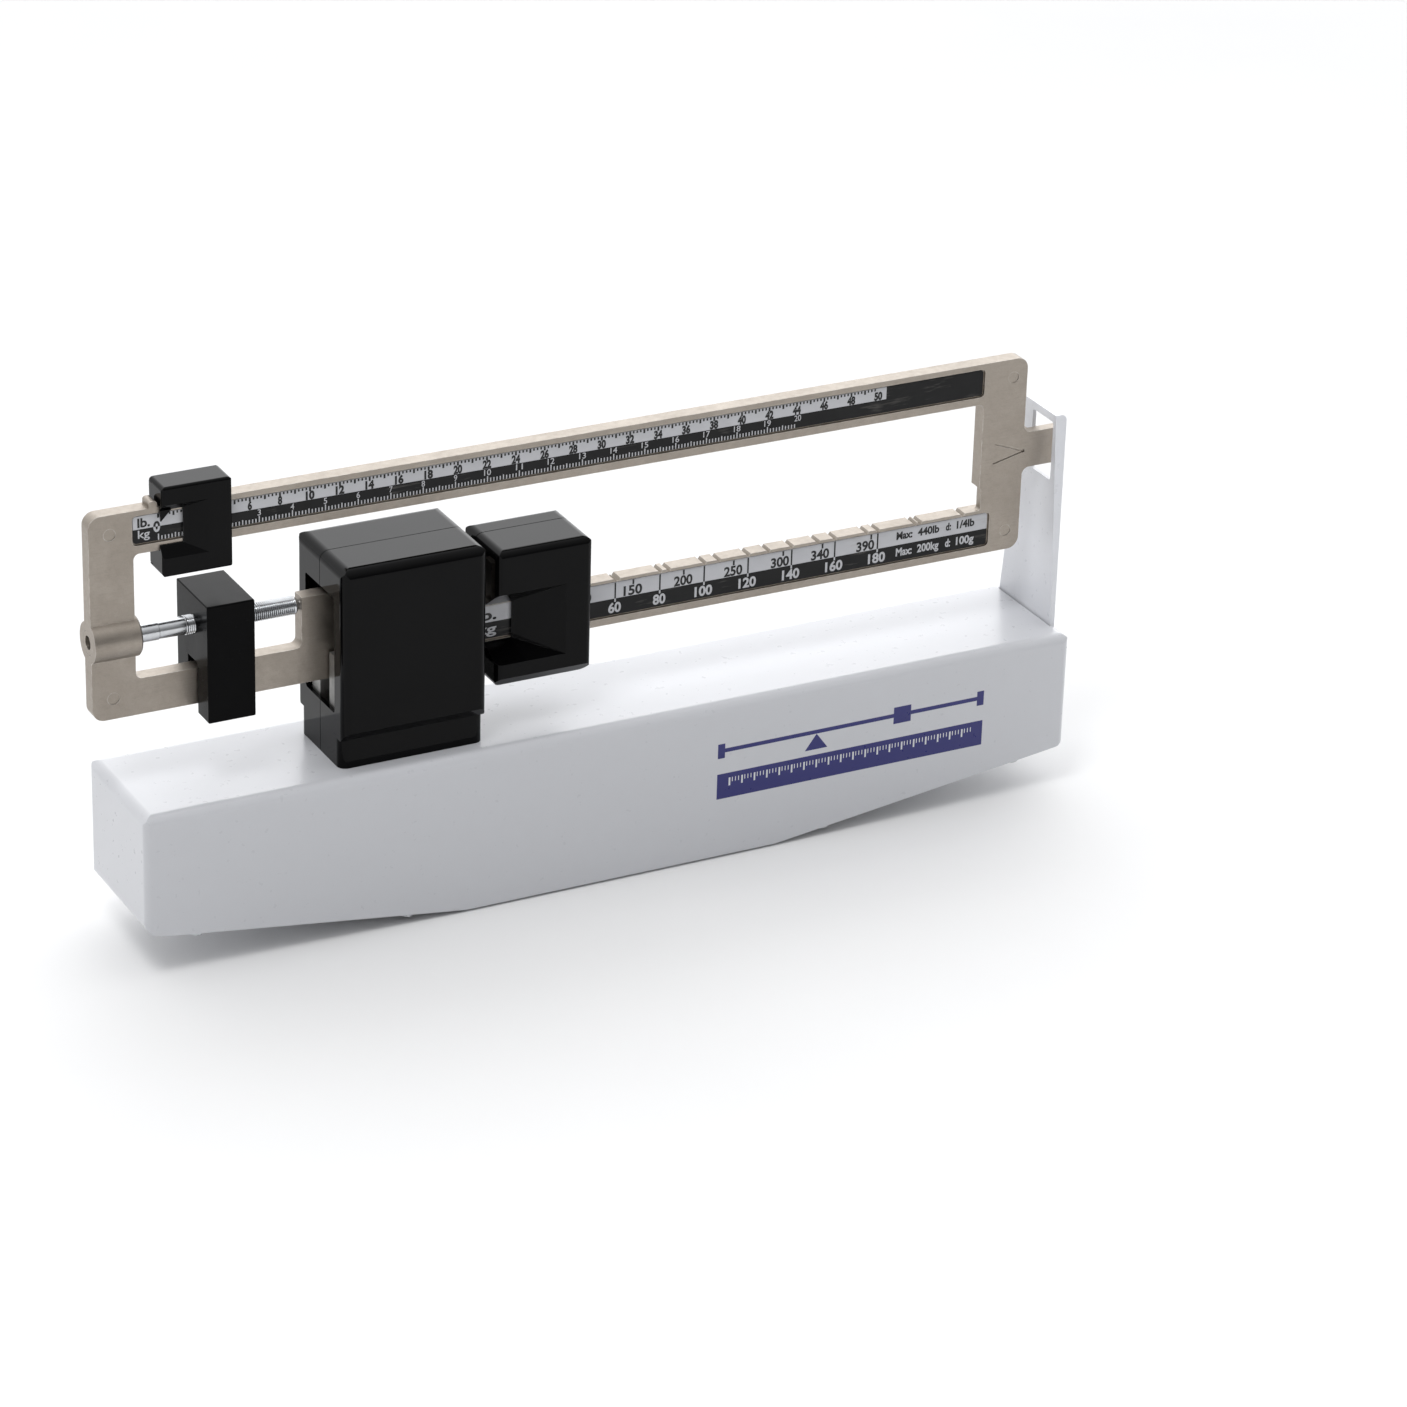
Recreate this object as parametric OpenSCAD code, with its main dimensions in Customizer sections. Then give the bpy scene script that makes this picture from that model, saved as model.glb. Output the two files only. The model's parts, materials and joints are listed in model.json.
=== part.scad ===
// Two-poise weigh-beam balance head: a sheet-metal housing carries a knife-edge
// stand, on which a die-cast beam rocks between the limits of a stop bracket.
// Millimetres. +X runs along the beam, +Y to the back, +Z up. The origin is
// the centre of the flat that the housing rests on.

/* [Housing] */
// Length of the housing along the beam
housing_len = 504; // [500:1:510]
// Depth of the housing, front to back
housing_depth = 72; // [70:1:78]
// Height of the housing at its middle
housing_h = 85; // [82:1:88]
// Height of the housing at its two ends
housing_end_h = 62; // [58:1:64]
// Length of the flat part of the underside
rest_len = 170; // [150:5:180]
// Thickness of the sheet metal
sheet = 1.5; // [1.2:0.1:2]
// Outside radius of the sheet-metal bends
bend_r = 5; // [3:0.5:6]
// Distance between the two frame tubes that hold the back wall
tube_spacing = 347; // [330:1:350]
// Offset of the middle of the frame tubes from the housing's middle
tube_offset = -34.5; // [-40:0.5:-30]

/* [Beam] */
// Length of the beam frame without its pointer tab
beam_len = 501; // [499:0.1:503]
// Height of the beam frame
beam_h = 103.8; // [103:0.1:105]
// Thickness of the beam
beam_t = 8; // [7.6:0.1:8.2]
// Clear height between the housing and the beam
beam_rise = 39.5; // [39:0.5:41]
// Length of beam that stands out past the housing's left end
beam_overhang = 13; // [12:0.5:14]
// Distance of the beam's mid-plane in front of the housing's mid-plane
beam_forward = 1.7; // [1:0.1:2]
// Height of the upper bar
upper_bar_h = 21.8; // [21:0.1:22]
// Height of the lower bar, notched ridge included
lower_bar_h = 24; // [23.8:0.1:24.2]
// Height of the arm below the adjusting screw
arm_h = 18.5; // [18:0.1:19]
// Width of the two uprights
upright_w = 22; // [21:0.5:23]
// Length of the pointer tab that plays in the stop bracket
tab_len = 20; // [19:0.1:22]
// Thickness of the pointer tab
tab_t = 5.5; // [5:0.1:7]
// Height of the pointer tab
tab_h = 19; // [18:0.5:19.5]
// Spacing of the notches that belong to the kilogram graduations
kg_notch_step = 24.4; // [24:0.1:25]
// Spacing of the notches that belong to the pound graduations
lb_notch_step = 27.725; // [27:0.005:28]

/* [Pivots] */
// Distance from the fulcrum knife edge to the load knife edge
load_arm = 28; // [27:0.5:30]
// Height of both knife edges above the housing
edge_rise = 65; // [64:0.5:66]
// Height of a pivot bar behind its edge
pivot_h = 8; // [7:0.5:8]

/* [Cover] */
// Width of the fulcrum cover along the beam
cover_w = 75.3; // [74:0.1:77]
// Depth of the fulcrum cover above its step
cover_depth = 55.8; // [55:0.1:58]
// Depth of the fulcrum cover below its step
cover_foot_depth = 47.4; // [47:0.1:49]
// Height of the fulcrum cover
cover_h = 104.5; // [104:0.5:107]
// Wall of the moulded cover
cover_wall = 2; // [1.8:0.1:2.2]

/* [Poises] */
// Width of the small poise
small_w = 35; // [33:1:36]
// Depth of the small poise
small_depth = 15.8; // [15.4:0.1:17]
// Height of the small poise
small_h = 45.2; // [44:0.1:46]
// Width of the large poise
large_w = 51; // [50:1:52]
// Depth of the large poise
large_depth = 39; // [38:1:40]
// Height of the large poise
large_h = 72.2; // [72:0.1:73]

/* [Zero adjuster] */
// Diameter of the adjusting screw
screw_d = 9.4; // [9:0.1:9.6]
// Height of the screw's axis above the housing
screw_rise = 79.2; // [78:0.1:81]
// Thickness of the counterweight along the screw
counter_w = 24; // [22:1:26]
// Depth of the counterweight
counter_depth = 37.5; // [36:0.5:39]
// Height of the counterweight
counter_h = 60; // [59:1:61]

/* [Hidden] */
$fn = 48;

// Housing
cover_t = 1.2;
lip_w = 12;
corner_r = 4;
skirt_corner_r = 6;
skirt_run = (housing_len - rest_len) / 2;
skirt_slope = (housing_h - housing_end_h - cover_t) / skirt_run;
skirt_angle = atan(skirt_slope);
skirt_screw_x = [115, 225];
skirt_screw_y = housing_depth / 2 - lip_w / 2 - 1;
m4_r = 1.95;
tube_bolt_r = 3.3;
tube_bolt_z = [40, 70];
draft_slot = [40, 32];

// Beam
beam_y = -beam_forward;
beam_x0 = -housing_len / 2 - beam_overhang;
beam_x1 = beam_x0 + beam_len;
beam_z0 = housing_h + beam_rise;
beam_z1 = beam_z0 + beam_h;
upper_z0 = beam_z1 - upper_bar_h;
lower_z1 = beam_z0 + lower_bar_h;
window_x0 = beam_x0 + upright_w;
window_x1 = beam_x1 - upright_w - 2.5;
web_x0 = -159;
web_x1 = -68;
web_z1 = beam_z0 + 44.5;
window_r = 3;
beam_r = 6;
tab_z = beam_z0 + 53;
screw_z = housing_h + screw_rise;
boss_r = 10.2;
boss_x1 = window_x0 + 1.9;
boss_bevel = 0.8;
notch_depth = 1.8;
notch_half_w = 1.3;
kg_notch_x = -66 + kg_notch_step;
lb_notch_x = -46.9;
scale_t = 0.4;
recess = 1.2;
plate_gap = 0.7;
upper_scale = [-243.4, 211.3, upper_z0 + 4.1, upper_z0 + 19];
lower_scale = [-70, 218.2, beam_z0 + 3.8, beam_z0 + 22.4];
scale_r = 2.2;
relief = [4.5, 12.5];
lug = [beam_x0 + 30, beam_x0 + 34.2];
lug_h = 3.2;

// Knife edges
load_x = -124;
fulcrum_x = load_x + load_arm;
edge_z = housing_h + edge_rise;
pivot_half_w = 4.2;
fit = 0.05;

// Stand, from the beam's mid-plane outwards
stand_x = [-145.5, -79];
stand_gap = 5.5;
stand_half_d = 15;
stand_floor = 10;
cheek_z = edge_z - 11;
post_z = edge_z - 2;
post_half_w = 14;
bearing_z0 = edge_z - 8;
bearing_z1 = edge_z + 2.5;
bearing_half_w = 8;
stand_bolt_x = [-134, -86];
stand_bolt_y = 10.2;
m5_r = 2.45;
guard_t = 1.5;
guard_half_w = 11;
strap_in = 17;
strap_t = 2.5;
strap_half_w = 5;
strap_z0 = 62;
rod_r = 3;
rod_z0 = 28;
rod_end_r = 2.5;
rod_end_h = 24;
rod_h = 48;

// Cover
cover_x0 = -148;
cover_x1 = cover_x0 + cover_w;
cover_z1 = housing_h + cover_h;
cover_step_z = housing_h + 15;
cover_step_h = 5;
cover_r = 5;
cover_plan_r = 4.5;
seam_w = 0.5;
seam_depth = 0.8;
slot_half_w = 17;
slot_z = [housing_h + 27, housing_h + 87];
post_r = 3.2;
cover_post_x = [cover_x0 + 7.8, cover_x1 - 7.8];
cover_post_z = cover_z1 - 8.4;
foot_post_x = [cover_x0 + 5.6, cover_x1 - 5.6];
foot_post_y = cover_foot_depth / 2 - 4.7;
m3_r = 1.45;

// Stop bracket
bracket_t = 2;
bracket_x = housing_len / 2 - sheet - 0.1 - bracket_t;
bracket_z0 = housing_h - 33;
bracket_z1 = housing_h + 112.6;
bracket_foot = [-22.3, 29.2];
bracket_head = [-15.1, 15.8];
bracket_window = [-13, 6.8, housing_h + 76.9, housing_h + 108.5];
flange_w = 4.3;
flange_r = 3;
bracket_slit = 0.8;
bracket_screw_y = [-8, 16];
bracket_screw_z = housing_h - 19;

// Poises
slide_gap = 0.4;
small_x = beam_x0 + 35;
small_z = upper_z0 - 12.8;
small_r = 2;
small_edge_r = 1.4;
small_funnel = [[0, 23.5, 9.3, 36.3], [0, 11.5, 15.3, 32.6]];
large_x = -64;
large_z = beam_z0 - 16;
large_front_y = -21;
large_seam_y = 5.4;
large_funnel = [[0, 37.5, 12.7, 50.2], [0, 14.6, 19.5, 38.8]];
large_chamfer = 5.5;
large_r = 4.5;
large_plan_r = 3.2;
large_edge_r = 3.8;
large_screw_x = [large_x + 5.5, large_x + large_w - 5.5];
large_screw_z = [large_z + 6.5, large_z + 61];
weight_x = [large_x + 11, large_x + large_w - 11];

// Counterweight
counter_x = -213;
counter_z = beam_z0 - 4.5;
counter_slot_half = 5.4;
counter_slot_h = 25.9;

// Height of the housing cover's underside at a place along the housing
function skirt_z(x) = max(0, abs(x) - rest_len / 2) * skirt_slope;

// Extrudes a (Y, Z) outline along X
module along_x(x0, x1) {
    translate([x0, 0, 0])
        rotate([90, 0, 90])
            linear_extrude(x1 - x0) children();
}

// Extrudes an (X, Z) outline along Y
module along_y(y0, y1) {
    translate([0, y1, 0])
        rotate([90, 0, 0])
            linear_extrude(y1 - y0) children();
}

// A cylinder along X from x0 to x1
module rod_x(x0, x1, r) {
    translate([x0, 0, 0]) rotate([0, 90, 0]) cylinder(h = x1 - x0, r = r);
}

// A cylinder along Y from y0 to y1
module rod_y(y0, y1, r) {
    translate([0, y1, 0]) rotate([90, 0, 0]) cylinder(h = y1 - y0, r = r);
}

// A box given by its lowest and highest corners
module span(low, high) {
    translate(low) cube(high - low);
}

// A rectangle with rounded corners, given by its edges
module round_rect(x0, x1, z0, z1, r) {
    translate([x0 + r, z0]) square([x1 - x0 - 2 * r, z1 - z0]);
    translate([x0, z0 + r]) square([x1 - x0, z1 - z0 - 2 * r]);
    for (x = [x0 + r, x1 - r], z = [z0 + r, z1 - r])
        translate([x, z]) circle(r);
}

// Both faces of the beam's mid-plane: the child on the front and its mirror
module both_faces() {
    for (side = [0, 1])
        translate([0, beam_y, 0]) mirror([0, side, 0]) children();
}

// ---- Housing ----

// Front view of the housing, shrunk by an inset, with its floor raised. The
// corners between the end walls and the sloped underside are rounded
module housing_outline(inset, floor_up) {
    half = housing_len / 2 - inset;
    low = cover_t + floor_up;
    end_z = low + skirt_z(half);
    r = skirt_corner_r;
    centre = [half - r, low + skirt_z(half - r) + r / cos(skirt_angle)];
    difference() {
        polygon([
            [-half, housing_h], [half, housing_h], [half, end_z],
            [rest_len / 2, low], [-rest_len / 2, low], [-half, end_z]
        ]);
        for (side = [0, 1])
            mirror([side, 0])
                translate(centre)
                    difference() {
                        polygon([
                            [0, 0], [r + 1, 0], [r + 1, -2 * r],
                            [2 * r * sin(skirt_angle), -2 * r * cos(skirt_angle)]
                        ]);
                        circle(r);
                    }
    }
}

module housing_form(inset, floor_up) {
    half_d = housing_depth / 2 - inset;
    half_l = housing_len / 2 - inset;
    top = housing_h - inset;
    r = bend_r - inset;
    // Each extrusion runs past the others, so that no two faces coincide
    past_d = half_d + 5;
    past_l = half_l + 5;
    intersection() {
        along_y(-past_d, past_d) housing_outline(inset, floor_up);
        along_y(-past_d, past_d) round_rect(-half_l, half_l, -housing_h, top, r);
        along_x(-past_l, past_l) round_rect(-half_d, half_d, -housing_h, top, r);
        linear_extrude(2 * housing_h, center = true)
            round_rect(-half_l, half_l, -half_d, half_d, corner_r - inset);
    }
}

// Places its child on the sloped underside, square to the sheet
module on_skirt() {
    for (x = skirt_screw_x, side_x = [-1, 1], side_y = [-1, 1])
        translate([side_x * x, side_y * skirt_screw_y, skirt_z(x)])
            rotate([0, -side_x * skirt_angle, 0]) children();
}

module housing_shell() {
    mouth = [housing_len / 2 - lip_w, housing_depth / 2 - lip_w];
    color("white")
    difference() {
        housing_form(0, 0);
        housing_form(sheet, sheet);
        span([-mouth[0], -mouth[1], -1], [mouth[0], mouth[1], bracket_z0 - 12]);
        on_skirt() translate([0, 0, -1]) cylinder(h = 8, r = m4_r + fit);
        for (side = [-1, 1], z = tube_bolt_z)
            translate([tube_offset + side * tube_spacing / 2, 0, z])
                rod_y(housing_depth / 2 - 6, housing_depth / 2 + 1, tube_bolt_r);
        for (x = stand_bolt_x, side = [-1, 1])
            translate([x, beam_y + side * stand_bolt_y, housing_h - 4])
                cylinder(h = 5, r = m5_r + 0.2);
        for (x = foot_post_x, side = [-1, 1])
            translate([x, beam_y + side * foot_post_y, housing_h - 4])
                cylinder(h = 5, r = m3_r + 0.2);
        both_faces()
            span([load_x - 10, strap_in - 1, housing_h - 4],
                 [load_x + 10, strap_in + strap_t + 1, housing_h + 1]);
        span([bracket_x - bracket_slit, bracket_foot[0] - 0.3, housing_h - 6],
             [bracket_x + bracket_t + 0.1, bracket_foot[1] + 0.3, housing_h + 1]);
        for (y = bracket_screw_y)
            translate([0, y, bracket_screw_z])
                rod_x(housing_len / 2 - 3, housing_len / 2 + 1, m5_r + 0.1);
    }
}

module bottom_cover() {
    end = housing_len / 2 - 8;
    half_d = housing_depth / 2 - 1.5;
    color("gainsboro")
    difference() {
        along_y(-half_d, half_d)
            polygon([
                [-end, skirt_z(end)], [-rest_len / 2, 0],
                [rest_len / 2, 0], [end, skirt_z(end)],
                [end, skirt_z(end) + cover_t], [rest_len / 2, cover_t],
                [-rest_len / 2, cover_t], [-end, skirt_z(end) + cover_t]
            ]);
        on_skirt() translate([0, 0, -1]) cylinder(h = 8, r = m4_r + 0.2);
        translate([load_x, beam_y, -1])
            linear_extrude(20)
                round_rect(-draft_slot[0] / 2, draft_slot[0] / 2,
                           -draft_slot[1] / 2, draft_slot[1] / 2, 6);
    }
}

module bottom_cover_screws() {
    color("silver")
    on_skirt() {
        translate([0, 0, -1.8]) cylinder(h = 1.8, r = 3.6);
        cylinder(h = 7, r = m4_r);
    }
}

// ---- Stop bracket ----

module stop_bracket() {
    lean = atan((bracket_head[0] - bracket_foot[0]) / (bracket_z1 - housing_h));
    edge_len = (bracket_z1 - housing_h) / cos(lean);
    back_r = 3;
    color("white")
    difference() {
        union() {
            along_x(bracket_x, bracket_x + bracket_t) {
                polygon([
                    [bracket_foot[0], bracket_z0], [bracket_foot[1], bracket_z0],
                    [bracket_foot[1], housing_h],
                    [bracket_head[1], bracket_z1 - back_r],
                    [bracket_head[1] - back_r, bracket_z1],
                    [bracket_head[0], bracket_z1],
                    [bracket_foot[0], housing_h]
                ]);
                translate([bracket_head[1] - back_r, bracket_z1 - back_r])
                    circle(back_r);
            }
            translate([0, bracket_foot[0], housing_h])
                rotate([-lean, 0, 0])
                    along_y(0, bracket_t)
                        union() {
                            polygon([
                                [bracket_x, 0], [bracket_x + bracket_t, 0],
                                [bracket_x + bracket_t + flange_w, edge_len - flange_r],
                                [bracket_x + bracket_t + flange_w - flange_r, edge_len],
                                [bracket_x, edge_len]
                            ]);
                            translate([bracket_x + bracket_t + flange_w - flange_r,
                                       edge_len - flange_r])
                                circle(flange_r);
                        }
        }
        along_x(bracket_x - 1, bracket_x + bracket_t + 0.01)
            round_rect(bracket_window[0], bracket_window[1],
                       bracket_window[2], bracket_window[3], 1.5);
        for (y = bracket_screw_y)
            translate([0, y, bracket_screw_z])
                rod_x(bracket_x - 1, bracket_x + bracket_t + 1, m5_r + 0.1);
    }
}

module stop_bracket_screws() {
    color("silver")
    for (y = bracket_screw_y)
        translate([0, y, bracket_screw_z]) {
            rod_x(housing_len / 2, housing_len / 2 + 2.8, 4.6);
            rod_x(bracket_x - 6, housing_len / 2, m5_r);
        }
}

module stop_bracket_nuts() {
    color("silver")
    for (y = bracket_screw_y)
        translate([0, y, bracket_screw_z])
            difference() {
                rotate([0, 90, 0])
                    translate([0, 0, bracket_x - 4]) cylinder(h = 4, r = 4.6, $fn = 6);
                rod_x(bracket_x - 5, bracket_x + 1, m5_r + fit);
            }
}

// ---- Fulcrum stand ----

module fulcrum_stand() {
    color("lightgray")
    difference() {
        union() {
            span([stand_x[0], beam_y - stand_half_d, housing_h],
                 [stand_x[1], beam_y + stand_half_d, cheek_z]);
            span([fulcrum_x - post_half_w, beam_y - stand_half_d, housing_h],
                 [fulcrum_x + post_half_w, beam_y + stand_half_d, post_z]);
        }
        span([stand_x[0] - 1, beam_y - stand_gap, housing_h + stand_floor],
             [stand_x[1] + 1, beam_y + stand_gap, post_z + 1]);
        span([fulcrum_x - bearing_half_w - fit, beam_y - stand_half_d - 1, bearing_z0],
             [fulcrum_x + bearing_half_w + fit, beam_y + stand_half_d + 1, post_z + 1]);
        for (x = stand_bolt_x, side = [-1, 1])
            translate([x, beam_y + side * stand_bolt_y, housing_h - 1])
                cylinder(h = stand_floor + 3, r = m5_r + fit);
        both_faces() guard_screw_row() rod_y(stand_gap + 2, stand_half_d + 1, m3_r + fit);
    }
}

module stand_bolts() {
    color("silver")
    for (x = stand_bolt_x, side = [-1, 1])
        translate([x, beam_y + side * stand_bolt_y, housing_h - sheet]) {
            translate([0, 0, -3.6]) cylinder(h = 3.6, r = 4.6, $fn = 6);
            cylinder(h = stand_floor + sheet - 1, r = m5_r);
        }
}

module fulcrum_bearings() {
    groove_z = edge_z - 0.1;
    groove_half = (bearing_z1 + 0.5 - groove_z) * tan(60);
    color("dimgray")
    both_faces()
        difference() {
            span([fulcrum_x - bearing_half_w, stand_gap + 0.5, bearing_z0],
                 [fulcrum_x + bearing_half_w, stand_half_d - 0.3, bearing_z1]);
            along_y(0, stand_half_d)
                polygon([
                    [fulcrum_x, groove_z],
                    [fulcrum_x + groove_half, bearing_z1 + 0.5],
                    [fulcrum_x - groove_half, bearing_z1 + 0.5]
                ]);
        }
}

// The two screw places below each bearing, relative to the beam's mid-plane
module guard_screw_row() {
    for (side = [-1, 1])
        translate([fulcrum_x + side * 7.5, 0, edge_z - 13]) children();
}

module bearing_guards() {
    color("silver")
    both_faces()
        difference() {
            along_y(stand_half_d, stand_half_d + guard_t)
                round_rect(fulcrum_x - guard_half_w, fulcrum_x + guard_half_w,
                           edge_z - 17, edge_z + 13, 2);
            guard_screw_row() rod_y(0, stand_half_d + 5, m3_r + 0.1);
        }
}

module guard_screws() {
    color("silver")
    both_faces()
        guard_screw_row() {
            rod_y(stand_gap + 3, stand_half_d + guard_t, m3_r);
            rod_y(stand_half_d + guard_t, stand_half_d + guard_t + 1.8, 2.8);
        }
}

// ---- Fulcrum cover ----

// End view of the cover, centred on the beam and shrunk by an inset
module cover_outline(inset) {
    half = cover_depth / 2 - inset;
    foot = cover_foot_depth / 2 - inset;
    top = cover_z1 - inset;
    r = cover_r - inset;
    polygon([
        [-foot, housing_h], [foot, housing_h], [foot, cover_step_z],
        [half, cover_step_z + cover_step_h], [half, top - r], [half - r, top],
        [-half + r, top], [-half, top - r], [-half, cover_step_z + cover_step_h],
        [-foot, cover_step_z]
    ]);
    for (side = [-1, 1])
        translate([side * (half - r), top - r]) circle(r);
}

module cover_form(inset) {
    half = cover_depth / 2 - inset;
    foot = cover_foot_depth / 2 - inset;
    x0 = cover_x0 + inset;
    x1 = cover_x1 - inset;
    r = cover_plan_r - inset;
    // Each extrusion runs past the others, so that no two faces coincide
    past = 5;
    translate([0, beam_y, 0])
        intersection() {
            along_x(x0 - past, x1 + past) cover_outline(inset);
            along_y(-half - past, half + past)
                round_rect(x0, x1, housing_h - 20, cover_z1 - inset, cover_r - inset);
            union() {
                translate([0, 0, cover_step_z])
                    linear_extrude(cover_h) round_rect(x0, x1, -half, half, r);
                translate([0, 0, housing_h - past])
                    linear_extrude(cover_step_z - housing_h + past + 1)
                        round_rect(x0, x1, -foot, foot, r);
            }
        }
}

// The whole cover before it is parted, with its posts and openings
module cover_body() {
    half = cover_depth / 2;
    difference() {
        cover_form(0);
        difference() {
            cover_form(cover_wall);
            for (x = cover_post_x)
                translate([x, beam_y, cover_post_z]) rod_y(-half, half, post_r);
            for (x = foot_post_x, side = [-1, 1])
                translate([x, beam_y + side * foot_post_y, housing_h])
                    cylinder(h = 12, r = 3);
        }
        difference() {
            span([cover_x0 - 1, beam_y - seam_w / 2, housing_h - 1],
                 [cover_x1 + 1, beam_y + seam_w / 2, cover_z1 + 1]);
            cover_form(seam_depth);
        }
        along_x(cover_x0 - 1, cover_x1 + 1)
            round_rect(beam_y - slot_half_w, beam_y + slot_half_w,
                       slot_z[0], slot_z[1], 1.5);
        for (x = foot_post_x, side = [-1, 1])
            translate([x, beam_y + side * foot_post_y, housing_h - 1])
                cylinder(h = 11, r = m3_r + fit);
        for (x = cover_post_x)
            translate([x, beam_y, cover_post_z]) {
                rod_y(-half + 8, half, m3_r + fit);
                rod_y(half - 3, half + 1, 3);
            }
    }
}

module cover_front() {
    color("black")
    intersection() {
        cover_body();
        span([cover_x0 - 1, beam_y - 40, housing_h], [cover_x1 + 1, beam_y, cover_z1 + 1]);
    }
}

module cover_rear() {
    color("black")
    intersection() {
        cover_body();
        span([cover_x0 - 1, beam_y, housing_h], [cover_x1 + 1, beam_y + 40, cover_z1 + 1]);
    }
}

module cover_top_screws() {
    half = cover_depth / 2;
    color("dimgray")
    for (x = cover_post_x)
        translate([x, beam_y, cover_post_z]) {
            rod_y(-half + 10, half - 3, m3_r);
            rod_y(half - 3, half - 0.8, 2.8);
        }
}

module cover_base_screws() {
    color("silver")
    for (x = foot_post_x, side = [-1, 1])
        translate([x, beam_y + side * foot_post_y, housing_h - sheet]) {
            translate([0, 0, -2]) cylinder(h = 2, r = 2.8);
            cylinder(h = 10, r = m3_r);
        }
}

// ---- Beam ----

// Sections of the two knife-edge bars, edge at the origin, body along +Z
module pivot_section(clear) {
    polygon([
        [0, -clear],
        [pivot_half_w + clear, pivot_h - 1],
        [pivot_half_w + clear, pivot_h + clear],
        [-pivot_half_w - clear, pivot_h + clear],
        [-pivot_half_w - clear, pivot_h - 1]
    ]);
}

module fulcrum_section(clear) {
    translate([fulcrum_x, edge_z]) pivot_section(clear);
}

module load_section(clear) {
    translate([load_x, edge_z]) mirror([0, 1]) pivot_section(clear);
}

// The notches on the ridge, one row for each unit
module ridge_notches() {
    places = concat(
        [for (x = [kg_notch_x : kg_notch_step : 205]) x],
        [for (x = [lb_notch_x : lb_notch_step : 205]) x]
    );
    for (x = places)
        translate([x, lower_z1])
            polygon([
                [-notch_half_w, 0.01], [notch_half_w, 0.01], [0, -notch_depth]
            ]);
}

module beam_outline() {
    fillet_r = 4;
    difference() {
        union() {
            round_rect(beam_x0, beam_x1, beam_z0, beam_z1, beam_r);
            translate([beam_x1 - 1, tab_z - tab_h / 2]) square([tab_len + 1, tab_h]);
            translate([beam_x1 - 1, tab_z - tab_h / 2 - fillet_r])
                square([fillet_r + 1, tab_h + 2 * fillet_r]);
            round_rect(lug[0], lug[1], beam_z1 - 5, beam_z1 + lug_h, 1.6);
        }
        for (side = [-1, 1])
            translate([beam_x1 + fillet_r, tab_z + side * (tab_h / 2 + fillet_r)])
                circle(fillet_r);
        round_rect(window_x0, web_x0, beam_z0 + arm_h, upper_z0, window_r);
        round_rect(web_x0 - 20, window_x1, web_z1, upper_z0, window_r);
        round_rect(web_x1, window_x1, lower_z1 + 6, upper_z0, window_r);
        round_rect(web_x1, window_x1 + 1, lower_z1, lower_z1 + relief[1], window_r / 2);
        ridge_notches();
    }
}

// The recess that a scale plate sits in, on the front face
module scale_recess(edges) {
    along_y(-beam_t / 2 - 1, -beam_t / 2 + recess)
        round_rect(edges[0], edges[1], edges[2], edges[3], scale_r);
}

// The sighting mark: two cut lines that meet at the pointer tab
module sighting_mark() {
    tip = [beam_x1, tab_z - 0.3];
    line_w = 0.9;
    depth = 0.5;
    for (turn = [158.5, 193.3])
        translate([tip[0], -beam_t / 2 - 1, tip[1]])
            rotate([0, -turn, 0])
                translate([0, 0, -line_w / 2]) cube([18, 1 + depth, line_w]);
    translate([tip[0], 0, tip[1]])
        rod_y(-beam_t / 2 - 1, -beam_t / 2 + 2 * depth, line_w);
}

module beam_casting() {
    mark_x = [beam_x0 + 10.5, beam_x1 - 8];
    mark_z = [beam_z0 + 10.5, beam_z1 - 10];
    color("tan")
    difference() {
        union() {
            along_y(beam_y - beam_t / 2, beam_y + beam_t / 2) beam_outline();
            translate([0, beam_y, screw_z]) {
                rod_x(beam_x0, boss_x1 - boss_bevel, boss_r);
                translate([boss_x1 - boss_bevel, 0, 0])
                    rotate([0, 90, 0])
                        cylinder(h = boss_bevel, r1 = boss_r, r2 = boss_r - boss_bevel);
            }
        }
        both_faces() {
            scale_recess(upper_scale);
            scale_recess(lower_scale);
            for (x = mark_x, z = mark_z)
                translate([x, 0, z]) rod_y(-beam_t / 2 - 1, -beam_t / 2 + 0.3, 3);
        }
        translate([0, beam_y, 0]) sighting_mark();
        translate([0, beam_y, screw_z]) {
            rod_x(beam_x0 - 1, boss_x1 + 1, screw_d / 2 + 0.06);
            rod_x(beam_x0 - 1, beam_x0 + 2.6, 6 + fit);
            rod_x(web_x0 - 1, web_x0 + 5.6, 2.5 + fit);
        }
        along_y(beam_y - beam_t, beam_y + beam_t) {
            fulcrum_section(fit);
            load_section(fit);
        }
        along_y(beam_y, beam_y + beam_t)
            round_rect(window_x1 - 10, window_x1 + relief[0], lower_z1,
                       lower_z1 + relief[1], window_r / 2);
        span([beam_x1 + 5, beam_y - beam_t / 2 + tab_t, tab_z - tab_h],
             [beam_x1 + tab_len + 1, beam_y + beam_t, tab_z + tab_h]);
    }
}

module fulcrum_pivot() {
    half = stand_half_d - 0.5;
    color("gray")
    along_y(beam_y - half, beam_y + half) fulcrum_section(0);
}

module load_pivot() {
    half = strap_in + strap_t + 1.5;
    color("gray")
    along_y(beam_y - half, beam_y + half) load_section(0);
}

module scale_plate(edges) {
    along_y(-beam_t / 2 + recess - scale_t, -beam_t / 2 + recess)
        round_rect(edges[0] + plate_gap, edges[1] - plate_gap,
                   edges[2] + plate_gap, edges[3] - plate_gap, scale_r - plate_gap);
}

module upper_scale_front() {
    color("whitesmoke") translate([0, beam_y, 0]) scale_plate(upper_scale);
}

module upper_scale_back() {
    color("whitesmoke")
    translate([0, beam_y, 0]) mirror([0, 1, 0]) scale_plate(upper_scale);
}

module lower_scale_front() {
    color("whitesmoke") translate([0, beam_y, 0]) scale_plate(lower_scale);
}

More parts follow.
